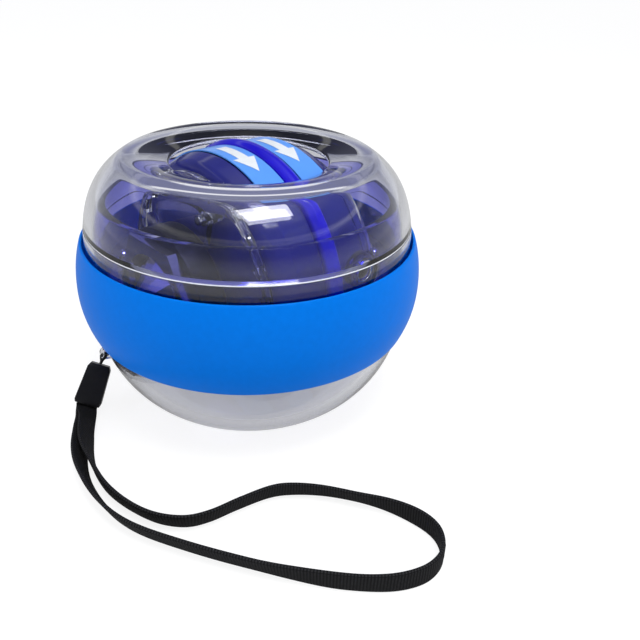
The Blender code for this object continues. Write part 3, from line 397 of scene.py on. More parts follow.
def plain_material(name, colour, roughness, **sockets):
    """A Principled material; the other values go straight on the shader's own sockets."""
    made = bpy.data.materials.new(name)
    made.use_nodes = True
    shader = made.node_tree.nodes["Principled BSDF"]
    shader.inputs["Base Color"].default_value = (*colour, 1.0)
    shader.inputs["Roughness"].default_value = roughness
    for socket, value in sockets.items():
        shader.inputs[socket.replace("_", " ")].default_value = value
    return made


def add_surface(made, scale, darkest, roughness, depth, stretch=(1, 1, 1)):
    """Fine unevenness in colour, roughness and relief, from noise on Object coordinates."""
    tree = made.node_tree
    shader = tree.nodes["Principled BSDF"]
    coords = add_node(tree, "ShaderNodeTexCoord")
    mapping = add_node(tree, "ShaderNodeMapping", {"Scale": stretch})
    noise = add_node(tree, "ShaderNodeTexNoise", {"Scale": scale, "Detail": 4.0})
    shades = add_node(tree, "ShaderNodeValToRGB")
    base = shader.inputs["Base Color"].default_value[:3]
    dark, plain = shades.color_ramp.elements
    dark.position, plain.position = 0.3, 0.7
    dark.color = (*[channel * darkest for channel in base], 1)
    plain.color = (*base, 1)
    levels = add_node(tree, "ShaderNodeMapRange", {"To Min": roughness[0], "To Max": roughness[1]})
    relief = add_node(tree, "ShaderNodeBump", {"Strength": 0.5, "Distance": depth})
    join(tree, (coords, "Object", mapping, "Vector"), (mapping, "Vector", noise, "Vector"),
         (noise, "Fac", shades, "Fac"), (shades, "Color", shader, "Base Color"),
         (noise, "Fac", levels, "Value"), (levels, "Result", shader, "Roughness"),
         (noise, "Fac", relief, "Height"), (relief, "Normal", shader, "Normal"))
    return made


def let_lamps_through(made, tint):
    """Lamps shine through the plastic, so what is behind it is lit."""
    tree = made.node_tree
    rays = add_node(tree, "ShaderNodeLightPath")
    clear = add_node(tree, "ShaderNodeBsdfTransparent", {"Color": (*tint, 1)})
    mix = add_node(tree, "ShaderNodeMixShader")
    join(tree, (rays, "Is Shadow Ray", mix, "Fac"), (tree.nodes["Principled BSDF"], "BSDF", mix, 1),
         (clear, "BSDF", mix, 2), (mix, "Shader", tree.nodes["Material Output"], "Surface"))
    return made


def clear_plastic(tint):
    """Polished clear polycarbonate with faint handling marks."""
    made = plain_material("clear plastic", tint, 0.0, IOR=1.52, Transmission_Weight=1.0)
    add_surface(made, scale=260, darkest=0.99, roughness=(0.0, 0.03), depth=0.000001)
    return let_lamps_through(made, (0.9, 0.9, 0.94))


def liner_plastic(colour, density):
    """Blue tinted plastic that deepens with the length of the way through it."""
    made = plain_material("blue liner plastic", (0.93, 0.94, 1.0), 0.0, IOR=1.3,
                          Transmission_Weight=1.0)
    add_surface(made, scale=180, darkest=0.98, roughness=(0.0, 0.05), depth=0.000001)
    tree = made.node_tree
    deepen = add_node(tree, "ShaderNodeVolumeAbsorption",
                      {"Color": (*colour, 1), "Density": density})
    join(tree, (deepen, "Volume", tree.nodes["Material Output"], "Volume"))
    return let_lamps_through(made, (0.75, 0.76, 0.96))


def silicone(colour):
    """Sky blue silicone with a soft, slightly dusty skin."""
    made = plain_material("sky blue silicone", colour, 0.42, Specular_IOR_Level=0.04)
    return add_surface(made, scale=900, darkest=0.95, roughness=(0.34, 0.46), depth=0.00001)


def gloss_plastic(name, colour):
    """Glossy moulded plastic with a polished skin."""
    made = plain_material(name, colour, 0.12)
    return add_surface(made, scale=140, darkest=0.8, roughness=(0.08, 0.16), depth=0.000003)


def film(colour):
    """Satin printed film."""
    made = plain_material("sticker film", colour, 0.32, Coat_Weight=0.25)
    return add_surface(made, scale=500, darkest=0.94, roughness=(0.27, 0.38), depth=0.000003)


def arrow_ink():
    """Pale grey print of the arrows."""
    made = plain_material("arrow print", (0.72, 0.75, 0.78), 0.35)
    return add_surface(made, scale=700, darkest=0.93, roughness=(0.3, 0.4), depth=0.000003)


def painted_seam_highlight():
    """Pale matt paint on the seam's ring: a painted highlight where the seam's edge catches light.
    """
    made = plain_material("painted seam highlight", (0.86, 0.88, 0.94), 0.4)
    return add_surface(made, scale=700, darkest=0.95, roughness=(0.34, 0.46), depth=0.000002)


def metal(name, colour, roughness):
    """Machined metal with fine marks."""
    made = plain_material(name, colour, roughness, Metallic=1.0)
    return add_surface(made, scale=650, darkest=0.88, roughness=(roughness * 0.6, roughness * 1.5),
                       depth=0.000003, stretch=(1, 1, 3))


def black_plastic():
    """Black moulded plastic with a fine grain."""
    made = plain_material("black moulded plastic", (0.005, 0.005, 0.006), 0.3,
                          Specular_IOR_Level=0.25)
    return add_surface(made, scale=1400, darkest=0.7, roughness=(0.28, 0.42), depth=0.00001)


def webbing_cloth(colour, pitch):
    """Woven nylon: cross ribs along the strap, with finer threads across them."""
    made = plain_material("woven nylon", colour, 0.8, Specular_IOR_Level=0.12)
    tree = made.node_tree
    shader = tree.nodes["Principled BSDF"]
    coords = add_node(tree, "ShaderNodeTexCoord")
    bands = 2 * math.pi / (20 * pitch)     # a wave texture of this scale repeats once in a pitch
    ribs = add_node(tree, "ShaderNodeTexWave", {"Scale": bands, "Distortion": 0.6},
                    bands_direction="X")
    threads = add_node(tree, "ShaderNodeTexWave", {"Scale": bands / 0.6}, bands_direction="Y")
    blend = add_node(tree, "ShaderNodeMath", operation="MULTIPLY")
    shades = add_node(tree, "ShaderNodeValToRGB")
    for element, share in zip(shades.color_ramp.elements, (0.45, 2.4)):
        element.color = (*[channel * share for channel in colour], 1)
    relief = add_node(tree, "ShaderNodeBump", {"Strength": 0.8, "Distance": 0.00008})
    join(tree, (coords, "UV", ribs, "Vector"), (coords, "UV", threads, "Vector"),
         (ribs, "Fac", blend, 0), (threads, "Fac", blend, 1), (blend, "Value", shades, "Fac"),
         (shades, "Color", shader, "Base Color"), (blend, "Value", relief, "Height"),
         (relief, "Normal", shader, "Normal"))
    return made


def finish(name):
    """A material of the ball, made when it is first asked for."""
    made = bpy.data.materials.get(name)
    if made:
        return made
    scene = bpy.context.scene
    shell, rotor, strap = scene.wrist_ball_shell, scene.wrist_ball_rotor, scene.wrist_ball_strap
    makers = {
        "clear plastic": lambda: clear_plastic(shell.clear_tint),
        "blue liner plastic": lambda: liner_plastic(shell.liner_colour, shell.liner_density),
        "sky blue silicone": lambda: silicone(shell.grip_colour),
        "rotor plastic": lambda: gloss_plastic("rotor plastic", rotor.body_colour),
        "rib plastic": lambda: gloss_plastic("rib plastic", rotor.rib_colour),
        "sticker film": lambda: film(rotor.film_colour),
        "arrow print": arrow_ink,
        "polished steel": lambda: metal("polished steel", (0.78, 0.79, 0.82), 0.12),
        "painted seam highlight": painted_seam_highlight,
        "brass": lambda: metal("brass", (0.78, 0.58, 0.25), 0.25),
        "black moulded plastic": black_plastic,
        "woven nylon": lambda: webbing_cloth(strap.strap_colour, strap.rib_pitch),
    }
    return makers[name]()


# Mesh tools

def polar(radius, turn, height=0.0):
    """Point at a radius, an angle in radians and a height."""
    return Vector((radius * math.cos(turn), radius * math.sin(turn), height))


def along(direction, origin=(0, 0, 0)):
    """Matrix whose Z runs along a level direction, with its Y upwards."""
    axis = Vector(direction).normalized()
    up = Vector((0, 0, 1))
    turn = Matrix((up.cross(axis), up, axis)).transposed().to_4x4()
    return Matrix.Translation(Vector(origin)) @ turn


def level_direction(angle):
    """Unit vector at an angle round Z, in degrees."""
    return polar(1, math.radians(angle))


AXLE_PLACE = along(AXLE, CENTRE)


def rounded(profile, radius, steps=CORNER_STEPS, off_axis=False):
    """The closed outline with each sharp corner rounded, but for those on the axis."""
    points = [Vector(point) for point in profile]
    result = []
    for index, corner in enumerate(points):
        before, after = points[index - 1] - corner, points[(index + 1) % len(points)] - corner
        on_axis = corner.x < TINY and not off_axis
        short = min(before.length, after.length) < TINY
        if on_axis or short or before.angle(after) > NEARLY_STRAIGHT:
            result.append(corner)
            continue
        start = corner + before.normalized() * min(radius, CORNER_SHARE * before.length)
        end = corner + after.normalized() * min(radius, CORNER_SHARE * after.length)
        for step in range(steps + 1):
            t = step / steps
            result.append(start * (1 - t) ** 2 + corner * 2 * t * (1 - t) + end * t * t)
    return result


def put(name, build, material, body, nodes, smooth=35):
    """Make a bmesh a finished piece: shaded, riding on its body, standing for its CAD nodes."""
    bmesh.ops.remove_doubles(build, verts=build.verts, dist=MERGE_DISTANCE)
    bmesh.ops.recalc_face_normals(build, faces=build.faces)
    mesh = bpy.data.meshes.new(name)
    build.to_mesh(mesh)
    build.free()
    return settle(name, mesh, material, body, nodes, smooth)


def settle(name, mesh, material, body, nodes, smooth=35):
    """Put a finished mesh in the scene as a piece."""
    mesh.shade_smooth()
    mesh.set_sharp_from_angle(angle=math.radians(smooth))
    mesh.materials.clear()
    mesh.materials.append(finish(material))
    piece = bpy.data.objects.new(name, mesh)
    bpy.context.scene.collection.objects.link(piece)
    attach(piece, body)
    if nodes:
        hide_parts(*nodes)
    return piece


def lathe(profile, sides, place=None):
    """Turn a closed outline of (radius, height) round Z. Points on the axis become poles."""
    place = place or Matrix.Identity(4)
    build = bmesh.new()
    rings = []
    for radius, height in profile:
        if radius < TINY:
            rings.append([build.verts.new(place @ Vector((0, 0, height)))])
            continue
        rings.append([build.verts.new(place @ polar(radius, 2 * math.pi * step / sides, height))
                      for step in range(sides)])
    for low, high in zip(rings, rings[1:] + rings[:1]):
        if len(low) == 1 and len(high) == 1:
            continue
        for step in range(sides):
            after = (step + 1) % sides
            corners = [low[step % len(low)], low[after % len(low)],
                       high[after % len(high)], high[step % len(high)]]
            build.faces.new(list(dict.fromkeys(corners)))
    return build


def polar_ring(angles, inner, outer, low, high, place=None):
    """A flat ring whose inner and outer edges are given as radii at each angle."""
    place = place or Matrix.Identity(4)
    build = bmesh.new()
    loops = []
    for edge, height in ((inner, low), (outer, low), (outer, high), (inner, high)):
        loops.append([build.verts.new(place @ polar(edge(angle), math.radians(angle), height))
                      for angle in angles])
    for first, second in zip(loops, loops[1:] + loops[:1]):
        for index in range(len(angles)):
            after = (index + 1) % len(angles)
            build.faces.new([first[index], first[after], second[after], second[index]])
    return build


def tube(rings, layer_points=None, build=None):
    """A closed tube through rings of equal length, with an optional UV map."""
    build = build or bmesh.new()
    made = [[build.verts.new(point) for point in ring] for ring in rings]
    layer = build.loops.layers.uv.new("weave") if layer_points else None
    count = len(rings[0])
    for row, (first, second) in enumerate(zip(made, made[1:])):
        for index in range(count):
            after = (index + 1) % count
            face = build.faces.new([first[index], first[after], second[after], second[index]])
            if layer:
                spots = ((row, index), (row, index + 1), (row + 1, index + 1), (row + 1, index))
                for loop, (ring, column) in zip(face.loops, spots):
                    loop[layer].uv = layer_points(ring, column)
    build.faces.new(made[0])
    build.faces.new(made[-1])
    return build


def swept(profile, start, end, steps, place, build):
    """Add to a bmesh a closed outline of (radius, height) turned through part of a circle."""
    rings = []
    for step in range(steps + 1):
        turn = math.radians(start + (end - start) * step / steps)
        rings.append([place @ polar(radius, turn, height) for radius, height in profile])
    return tube(rings, build=build)


def loose_object(name, build):
    """A bmesh as an object for modifiers to work on."""
    bmesh.ops.recalc_face_normals(build, faces=build.faces)
    mesh = bpy.data.meshes.new(name)
    build.to_mesh(mesh)
    build.free()
    piece = bpy.data.objects.new(name, mesh)
    bpy.context.scene.collection.objects.link(piece)
    return piece


def baked(name, shape):
    """The object's mesh with its modifiers applied; the object goes."""
    shown = shape.evaluated_get(bpy.context.evaluated_depsgraph_get())
    mesh = bpy.data.meshes.new_from_object(shown)
    mesh.name = name
    bpy.data.objects.remove(shape)
    return mesh


def boolean(build, tools):
    """Apply Boolean tools, given as (bmesh, operation), to a bmesh and return the new one."""
    base = loose_object("base", build)
    cutters = []
    for shape, operation in tools:
        tool = loose_object("tool", shape)
        change = base.modifiers.new(operation, "BOOLEAN")
        change.operation, change.object, change.solver = operation, tool, "EXACT"
        cutters.append(tool)
    mesh = baked("cut", base)
    for tool in cutters:
        bpy.data.objects.remove(tool)
    result = bmesh.new()
    result.from_mesh(mesh)
    return result


def smooth_route(points, count):
    """Evenly spaced points on a Catmull-Rom curve through the route's own points."""
    route = [Vector(point) for point in points]
    padded = [2 * route[0] - route[1]] + route + [2 * route[-1] - route[-2]]
    fine = []
    for a, b, c, d in zip(padded, padded[1:], padded[2:], padded[3:]):
        for step in range(ROUTE_STEPS):
            t = step / ROUTE_STEPS
            fine.append(0.5 * (2 * b + (c - a) * t + (2 * a - 5 * b + 4 * c - d) * t * t
                               + (3 * b - a - 3 * c + d) * t * t * t))
    fine.append(route[-1])
    lengths = [0.0]
    for first, second in zip(fine, fine[1:]):
        lengths.append(lengths[-1] + (second - first).length)
    even, index = [], 0
    for step in range(count):
        goal = lengths[-1] * step / (count - 1)
        while index < len(fine) - 2 and lengths[index + 1] < goal:
            index += 1
        span = lengths[index + 1] - lengths[index]
        even.append(fine[index].lerp(fine[index + 1], min((goal - lengths[index]) / span, 1.0)))
    return even, lengths[-1]


def headings(points):
    """Unit direction of a line at each of its points."""
    last = len(points) - 1
    return [(points[min(index + 1, last)] - points[max(index - 1, 0)]).normalized()
            for index in range(len(points))]


# Geometry Nodes

def ring_tree(material):
    """Tree that copies an object round Z and ends as one painted mesh."""
    tree = bpy.data.node_groups.new("ring of copies", "GeometryNodeTree")
    tree.is_modifier = True
    tree.interface.new_socket("Geometry", in_out="OUTPUT", socket_type="NodeSocketGeometry")
    for label, kind in (("Count", "NodeSocketInt"), ("Radius", "NodeSocketFloat"),
                        ("Spin", "NodeSocketFloat"), ("Piece", "NodeSocketObject")):
        tree.interface.new_socket(label, in_out="INPUT", socket_type=kind)
    sizes = add_node(tree, "NodeGroupInput")
    result = add_node(tree, "NodeGroupOutput")
    source = add_node(tree, "GeometryNodeObjectInfo")
    reach = add_node(tree, "ShaderNodeCombineXYZ")
    shift = add_node(tree, "GeometryNodeTransform")
    points = add_node(tree, "GeometryNodePoints")
    index = add_node(tree, "GeometryNodeInputIndex")
    share = add_node(tree, "ShaderNodeMath", operation="DIVIDE")
    turn = add_node(tree, "ShaderNodeMath", {1: 2 * math.pi}, operation="MULTIPLY_ADD")
    rotation = add_node(tree, "ShaderNodeCombineXYZ")
    copies = add_node(tree, "GeometryNodeInstanceOnPoints")
    realize = add_node(tree, "GeometryNodeRealizeInstances")
    paint = add_node(tree, "GeometryNodeSetMaterial", {"Material": finish(material)})
    join(tree, (sizes, "Piece", source, "Object"), (sizes, "Radius", reach, "X"),
         (source, "Geometry", shift, "Geometry"), (reach, "Vector", shift, "Translation"),
         (sizes, "Count", points, "Count"), (index, "Index", share, 0), (sizes, "Count", share, 1),
         (share, "Value", turn, 0), (sizes, "Spin", turn, 2), (turn, "Value", rotation, "Z"),
         (points, "Points", copies, "Points"), (shift, "Geometry", copies, "Instance"),
         (rotation, "Vector", copies, "Rotation"), (copies, "Instances", realize, "Geometry"),
         (realize, "Geometry", paint, "Geometry"), (paint, "Geometry", result, "Geometry"))
    return tree


def ring_of_copies(name, piece, count, radius, spin, material):
    """Copies of a piece at a radius round Z, from the spin angle on, as one plain mesh."""
    tree = ring_tree(material)
    host = bpy.data.objects.new(name, bpy.data.meshes.new(name))
    bpy.context.scene.collection.objects.link(host)
    change = host.modifiers.new("Copies", "NODES")
    change.node_group = tree
    values = {"Count": count, "Radius": radius, "Spin": spin, "Piece": piece}
    for item in tree.interface.items_tree:
        if item.in_out == "INPUT":
            change[item.identifier] = values[item.name]
    mesh = baked(name, host)
    bpy.data.objects.remove(piece)
    return mesh


# Shell outline

def reach_through(span, radius, exponent):
    """Half height of a super-ellipse of SHELL_RADIUS that passes radius at height span."""
    share = (radius / SHELL_RADIUS) ** exponent
    return span / (1 - share) ** (1 / exponent)


LIP_HEIGHT = RACE_HEIGHT + RIB_RADIUS - ROTOR_PROUD
EDGE_HEIGHT = LIP_HEIGHT - EDGE_DROP
EDGE_REACH = ROTOR_SWEEP + MOUTH_CLEARANCE + EDGE_ROUND
EDGE_RADIUS = math.sqrt(EDGE_REACH ** 2 - (EDGE_HEIGHT - RACE_HEIGHT) ** 2)
LIP_JOIN_HEIGHT = LIP_HEIGHT - LIP_JOIN_DROP
LIP_JOIN_RADIUS = LIP_JOIN_SHARE * SHELL_RADIUS
SHOULDER_REACH = reach_through(LIP_JOIN_HEIGHT - RACE_HEIGHT, LIP_JOIN_RADIUS, SHOULDER_EXPONENT)
BELLY_REACH = reach_through(RACE_HEIGHT, FOOT_RADIUS, BELLY_EXPONENT)


def shell_radius(height, inset=0.0):
    """Radius of the shell's outer face at a height, or of a face set in from it."""
    rise = height - RACE_HEIGHT
    if rise > 0:
        reach, exponent = SHOULDER_REACH - inset, SHOULDER_EXPONENT
    else:
        reach, exponent = BELLY_REACH - inset, BELLY_EXPONENT
    share = min(abs(rise) / reach, 1.0) ** exponent
    return (SHELL_RADIUS - inset) * (1 - share) ** (1 / exponent)


def wall_points(low, high, count, inset=0.0):
    """Points up a face of the shell, closer together where it curves most."""
    reach = max(SHOULDER_REACH, BELLY_REACH)
    first = math.asin((low - RACE_HEIGHT) / reach)
    last = math.asin((high - RACE_HEIGHT) / reach)
    points = []
    for index in range(count):
        height = RACE_HEIGHT + reach * math.sin(first + (last - first) * index / (count - 1))
        points.append((shell_radius(height, inset), height))
    return points


# Shell pieces

def bend(face, end, slope, handle, count):
    """Points from the end of a face, carried on smoothly, to a point met at a slope in degrees."""
    first, last = Vector(face[-1]), Vector(end)
    near = first + (first - Vector(face[-2])).normalized() * handle
    turn = math.radians(slope)
    far = last + Vector((math.cos(turn), math.sin(turn))) * handle
    points = []
    for step in range(1, count + 1):
        t = step / count
        point = (first * (1 - t) ** 3 + near * 3 * t * (1 - t) ** 2
                 + far * 3 * t * t * (1 - t) + last * t ** 3)
        points.append((point.x, point.y))
    return points


def build_upper_shell():
    """Clear dome whose lip rolls over and slopes down to the mouth's edge."""
    low = SEAM_HEIGHT + GAP / 2
    outer = wall_points(low, LIP_JOIN_HEIGHT, DOME_STEPS[0])
    inner = wall_points(low, LIP_HEIGHT - UNDERSIDE_DROP, DOME_STEPS[1], SHELL_WALL)
    edge = []
    for step in range(EDGE_STEPS + 1):
        share = step / EDGE_STEPS
        turn = math.radians(90 + LIP_SLOPE + (180 + UNDERSIDE_SLOPE - LIP_SLOPE) * share)
        edge.append((EDGE_RADIUS + EDGE_ROUND * math.cos(turn),
                     EDGE_HEIGHT + EDGE_ROUND * math.sin(turn)))
    top = bend(outer, edge[0], LIP_SLOPE, LIP_HANDLE, LIP_STEPS[0])
    underside = bend(inner, edge[-1], UNDERSIDE_SLOPE, UNDERSIDE_HANDLE, LIP_STEPS[1])
    profile = outer + top + edge[1:] + underside[-2::-1] + inner[::-1]
    put("dome", lathe(profile, SHELL_SIDES), "clear plastic", "shell", ["upper_shell"],
        smooth=60)


def build_lower_shell():
    """Clear bowl with the flat foot and the moulded eyelet for the strap."""
    top = SEAM_HEIGHT - GAP / 2
    profile = [(0, 0), (FOOT_RADIUS - FOOT_CHAMFER, 0)]
    profile += wall_points(FOOT_CHAMFER, top, BOWL_STEPS[0])
    profile += wall_points(FLOOR_THICKNESS + FLOOR_CHAMFER, top, BOWL_STEPS[1], SHELL_WALL)[::-1]
    floor_radius = shell_radius(FLOOR_THICKNESS, SHELL_WALL) - FLOOR_CHAMFER
    profile += [(floor_radius, FLOOR_THICKNESS), (0, FLOOR_THICKNESS)]

    wall = shell_radius(EYELET_HEIGHT)
    root = wall - SHELL_WALL / 2
    centre = wall + EYELET_HOLE_RADIUS + GAP
    rim, half = EYELET_HOLE_RADIUS + EYELET_RIM, EYELET_THICKNESS / 2
    outline = [(root, EYELET_HEIGHT + rim), (root, EYELET_HEIGHT - rim)]
    for step in range(EYELET_STEPS + 1):
        turn = math.radians(-90 + 180 * step / EYELET_STEPS)
        outline.append((centre + rim * math.cos(turn), EYELET_HEIGHT + rim * math.sin(turn)))
    upright = Matrix.Rotation(math.radians(90), 4, "X")
    place = Matrix.Rotation(math.radians(EYELET_ANGLE), 4, "Z") @ upright
    tab = tube([[place @ Vector((x, y, side)) for x, y in outline] for side in (-half, half)])
    reach = half + GAP
    bore = [(0, -reach), (EYELET_HOLE_RADIUS, -reach), (EYELET_HOLE_RADIUS, reach), (0, reach)]
    hole = lathe(bore, HOLE_SIDES, place @ Matrix.Translation((centre, EYELET_HEIGHT, 0)))
    bowl = boolean(lathe(profile, SHELL_SIDES), [(tab, "UNION"), (hole, "DIFFERENCE")])
    put("bowl", bowl, "clear plastic", "shell", ["lower_shell"], smooth=50)


def build_seam():
    """Ring at the real seam between the dome and the bowl, in pale paint that stands in for the
    highlight on the seam's edge.
    """
    outer = shell_radius(SEAM_HEIGHT) - SEAM_SETBACK
    low, high = SEAM_HEIGHT - GAP / 2 + SEAM_CLEARANCE, SEAM_HEIGHT + GAP / 2 - SEAM_CLEARANCE
    weld = [(outer - SEAM_DEPTH, low), (outer, low), (outer, high), (outer - SEAM_DEPTH, high)]
    # the seam's groove is real; its pale colour is a painted highlight
    put("seam", lathe(rounded(weld, SEAM_ROUND), SHELL_SIDES), "painted seam highlight", "shell", [],
        smooth=60)


def build_grip_band(edge_round):
    """Silicone band, thickest at its middle, with soft edges."""
    middle, half = (GRIP_LOW + GRIP_HIGH) / 2, (GRIP_HIGH - GRIP_LOW) / 2
    outer, inner = [], []
    for radius, height in wall_points(GRIP_LOW, GRIP_HIGH, GRIP_STEPS):
        crown = GRIP_CROWN * (1 - ((height - middle) / half) ** 2)
        outer.append((radius + GAP + GRIP_EDGE + crown, height))
        inner.append((radius + GAP, height))
    profile = rounded(outer + inner[::-1], edge_round)
    put("silicone_band", lathe(profile, SHELL_SIDES), "sky blue silicone", "shell", ["grip_band"],
        smooth=60)


def build_low_liner():
    """Lower tinted ring, up to the groove for the axle's tips."""
    inset = SHELL_WALL + GAP
    high = RACE_HEIGHT - GROOVE_HALF
    low = high - RACE_LIP_THICKNESS
    outer_steps, inner_steps = LINER_LOW_STEPS
    profile = wall_points(LINER_LOW, high, outer_steps, inset)
    profile += [(LIP_INNER, high), (LIP_INNER, low)]
    profile += wall_points(LINER_LOW, low, inner_steps, inset + LINER_WALL)[::-1]
    put("liner_low", lathe(rounded(profile, SMALL_ROUND), SHELL_SIDES), "blue liner plastic",
        "shell", ["race_ring_lower"])


def build_high_liner():
    """Upper tinted ring, from the groove up, with its boss, collar and cap."""
    inset = SHELL_WALL + GAP
    low = RACE_HEIGHT + GROOVE_HALF
    high = low + RACE_LIP_THICKNESS
    outer_steps, inner_steps = LINER_HIGH_STEPS
    profile = wall_points(low, LINER_HIGH, outer_steps, inset)
    profile += wall_points(high, LINER_HIGH, inner_steps, inset + LINER_WALL)[::-1]
    profile += [(LIP_INNER, high), (LIP_INNER, low)]

    height = RACE_HEIGHT + BOSS_RISE
    place = along(level_direction(BOSS_ANGLE), (0, 0, height))
    face = shell_radius(height, inset)
    back, front = face - LINER_WALL - BOSS_DEPTH, face - LINER_WALL / 2
    outline = [(0, back), (BOSS_RADIUS, back), (BOSS_RADIUS, front), (0, front)]
    boss = lathe(rounded(outline, SOFT_ROUND), SMALL_SIDES, place)
    floor, bore = face - FERRULE_DEPTH, FERRULE_RADIUS + GAP
    hole = lathe([(0, floor), (bore, floor), (bore, SHELL_RADIUS), (0, SHELL_RADIUS)],
                 SMALL_SIDES, place)
    ring = boolean(lathe(rounded(profile, SMALL_ROUND), SHELL_SIDES),
                   [(boss, "UNION"), (hole, "DIFFERENCE")])
    put("liner_high", ring, "blue liner plastic", "shell", ["race_ring_upper"])

    seat = floor + GAP
    crown = shell_radius(height + FERRULE_RADIUS, inset) - GAP
    inner = FERRULE_RADIUS - FERRULE_WALL
    collar = [(FERRULE_RADIUS, seat), (FERRULE_RADIUS, crown), (inner, crown), (inner, seat)]
    put("boss_collar", lathe(rounded(collar, SMALL_ROUND), SMALL_SIDES, place), "polished steel",
        "shell", ["boss_ferrule"])
    cap = [(0, seat), (inner - GAP, seat), (inner - GAP, crown - GAP), (0, crown)]
    put("boss_cap", lathe(rounded(cap, SOFT_ROUND), SMALL_SIDES, place), "black moulded plastic",
        "shell", ["boss_plug"])


# Precessing ring

def mirrored(profile, side):
    """The outline, or its mirror image across the rotor's middle."""
    return [(radius, side * height) for radius, height in profile]


def lug_angles():
    """The four screw lugs, either side of both ends of the axle."""
    start = math.degrees(math.atan2(AXLE.y, AXLE.x))
    return [(start + end + side) % 360 for end in (0, 180) for side in (-LUG_ANGLE, LUG_ANGLE)]


def ring_inner_edge(angle):
    """Inner radius of the ring, which swells inwards at each lug."""
    nearest = min(abs((angle - lug + 180) % 360 - 180) for lug in lug_angles())
    off = LUG_CENTRE * math.sin(math.radians(nearest))
    if nearest > 90 or off >= LUG_RADIUS:
        return RING_INNER
    near = LUG_CENTRE * math.cos(math.radians(nearest)) - math.sqrt(LUG_RADIUS ** 2 - off ** 2)
    return min(RING_INNER, near)


def build_ring_halves():
    """The two halves of the precessing ring, bored for the bushes."""
    angles = [step * RING_STEP for step in range(int(360 / RING_STEP))]
    seat = LUG_CENTRE - LUG_RADIUS
    bore = [(0, seat), (BUSH_HOLE, seat), (BUSH_HOLE, SHELL_RADIUS), (0, SHELL_RADIUS)]
    bottom, top = RACE_HEIGHT - RING_HALF_HEIGHT, RACE_HEIGHT + RING_HALF_HEIGHT
    for name, node, low, high in (("ring_low", "ring_half_lower", bottom, RACE_HEIGHT - GAP / 2),
                                  ("ring_high", "ring_half_upper", RACE_HEIGHT + GAP / 2, top)):
        tools = [(lathe(bore, HOLE_SIDES, along(AXLE * end, CENTRE)), "DIFFERENCE")
                 for end in (1, -1)]
        half = polar_ring(angles, ring_inner_edge, lambda angle: RING_OUTER, low, high)
        put(name, boolean(half, tools), "polished steel", "ring", [node])


def build_screws():
    """Screws that join the ring's halves, as two opposite pairs."""
    tail = RACE_HEIGHT - RING_HALF_HEIGHT + SCREW_TAIL
    head = RACE_HEIGHT + RING_HALF_HEIGHT + GAP
    top = head + SCREW_HEAD_HEIGHT
    side, taper, recess = SCREW_SHARES
    floor = head + SCREW_HEAD_HEIGHT * recess
    outline = rounded([
        (0, tail), (SCREW_RADIUS, tail), (SCREW_RADIUS, head), (SCREW_HEAD_RADIUS, head),
        (SCREW_HEAD_RADIUS, head + SCREW_HEAD_HEIGHT * side), (SCREW_HEAD_RADIUS * taper, top),
        (SCREW_RECESS_RADIUS, top), (SCREW_RECESS_RADIUS, floor), (0, floor)], FINE_ROUND)
    pairs = {"screws_before": ["ring_screw_1", "ring_screw_3"],
             "screws_after": ["ring_screw_2", "ring_screw_4"]}
    for lug, (name, nodes) in zip(lug_angles(), pairs.items()):
        screw = loose_object("screw", lathe(outline, SCREW_SIDES))
        mesh = ring_of_copies(name, screw, 2, LUG_CENTRE, math.radians(lug), "polished steel")
        settle(name, mesh, "polished steel", "ring", nodes)


def build_bearings():
    """Faceted cones round the axle's ends, just inside the ring."""
    neck = CONE_END - CONE_NECK
    hub = ROTOR_HALF_WIDTH + HUB_PROUD + CONE_CLEARANCE + GAP
    for side, label, start, material in ((1, "left", NUT_START, "polished steel"),
                                         (-1, "right", hub, "clear plastic")):
        cone = [(AXLE_HOLE, start), (CONE_BASE_RADIUS, start), (CONE_TOP_RADIUS, neck),
                (CONE_TOP_RADIUS, CONE_END), (AXLE_HOLE, CONE_END)]
        put("cone_" + label, lathe(mirrored(cone, side), CONE_FACETS, AXLE_PLACE), material,
            "ring", ["bearing_cone_" + label], smooth=5)


def build_spring_set():
    """Black drum, and the bright hexagon ring on its outer end."""
    inner, back = HOUSING_RADIUS - HOUSING_WALL, HOUSING_END - HOUSING_WALL
    hole = ARBOR_RADIUS + GAP
    drum = [(HOUSING_RADIUS, HOUSING_START), (HOUSING_RADIUS, HOUSING_END), (hole, HOUSING_END),
            (hole, back), (inner, back), (inner, HOUSING_START)]
    put("spring_drum", lathe(rounded(drum, DRUM_ROUND), ROTOR_SIDES, AXLE_PLACE),
        "black moulded plastic", "ring", ["spring_housing"])

    def nut_edge(angle):
        return NUT_RADIUS * math.cos(math.radians(30)) / math.cos(math.radians(angle % 60 - 30))

    nut = polar_ring(range(0, 360, NUT_STEP), lambda angle: NUT_BORE, nut_edge, NUT_START, NUT_END,
                     AXLE_PLACE)
    put("hexagon_ring", nut, "polished steel", "ring", ["housing_nut"], smooth=25)


# Rotor

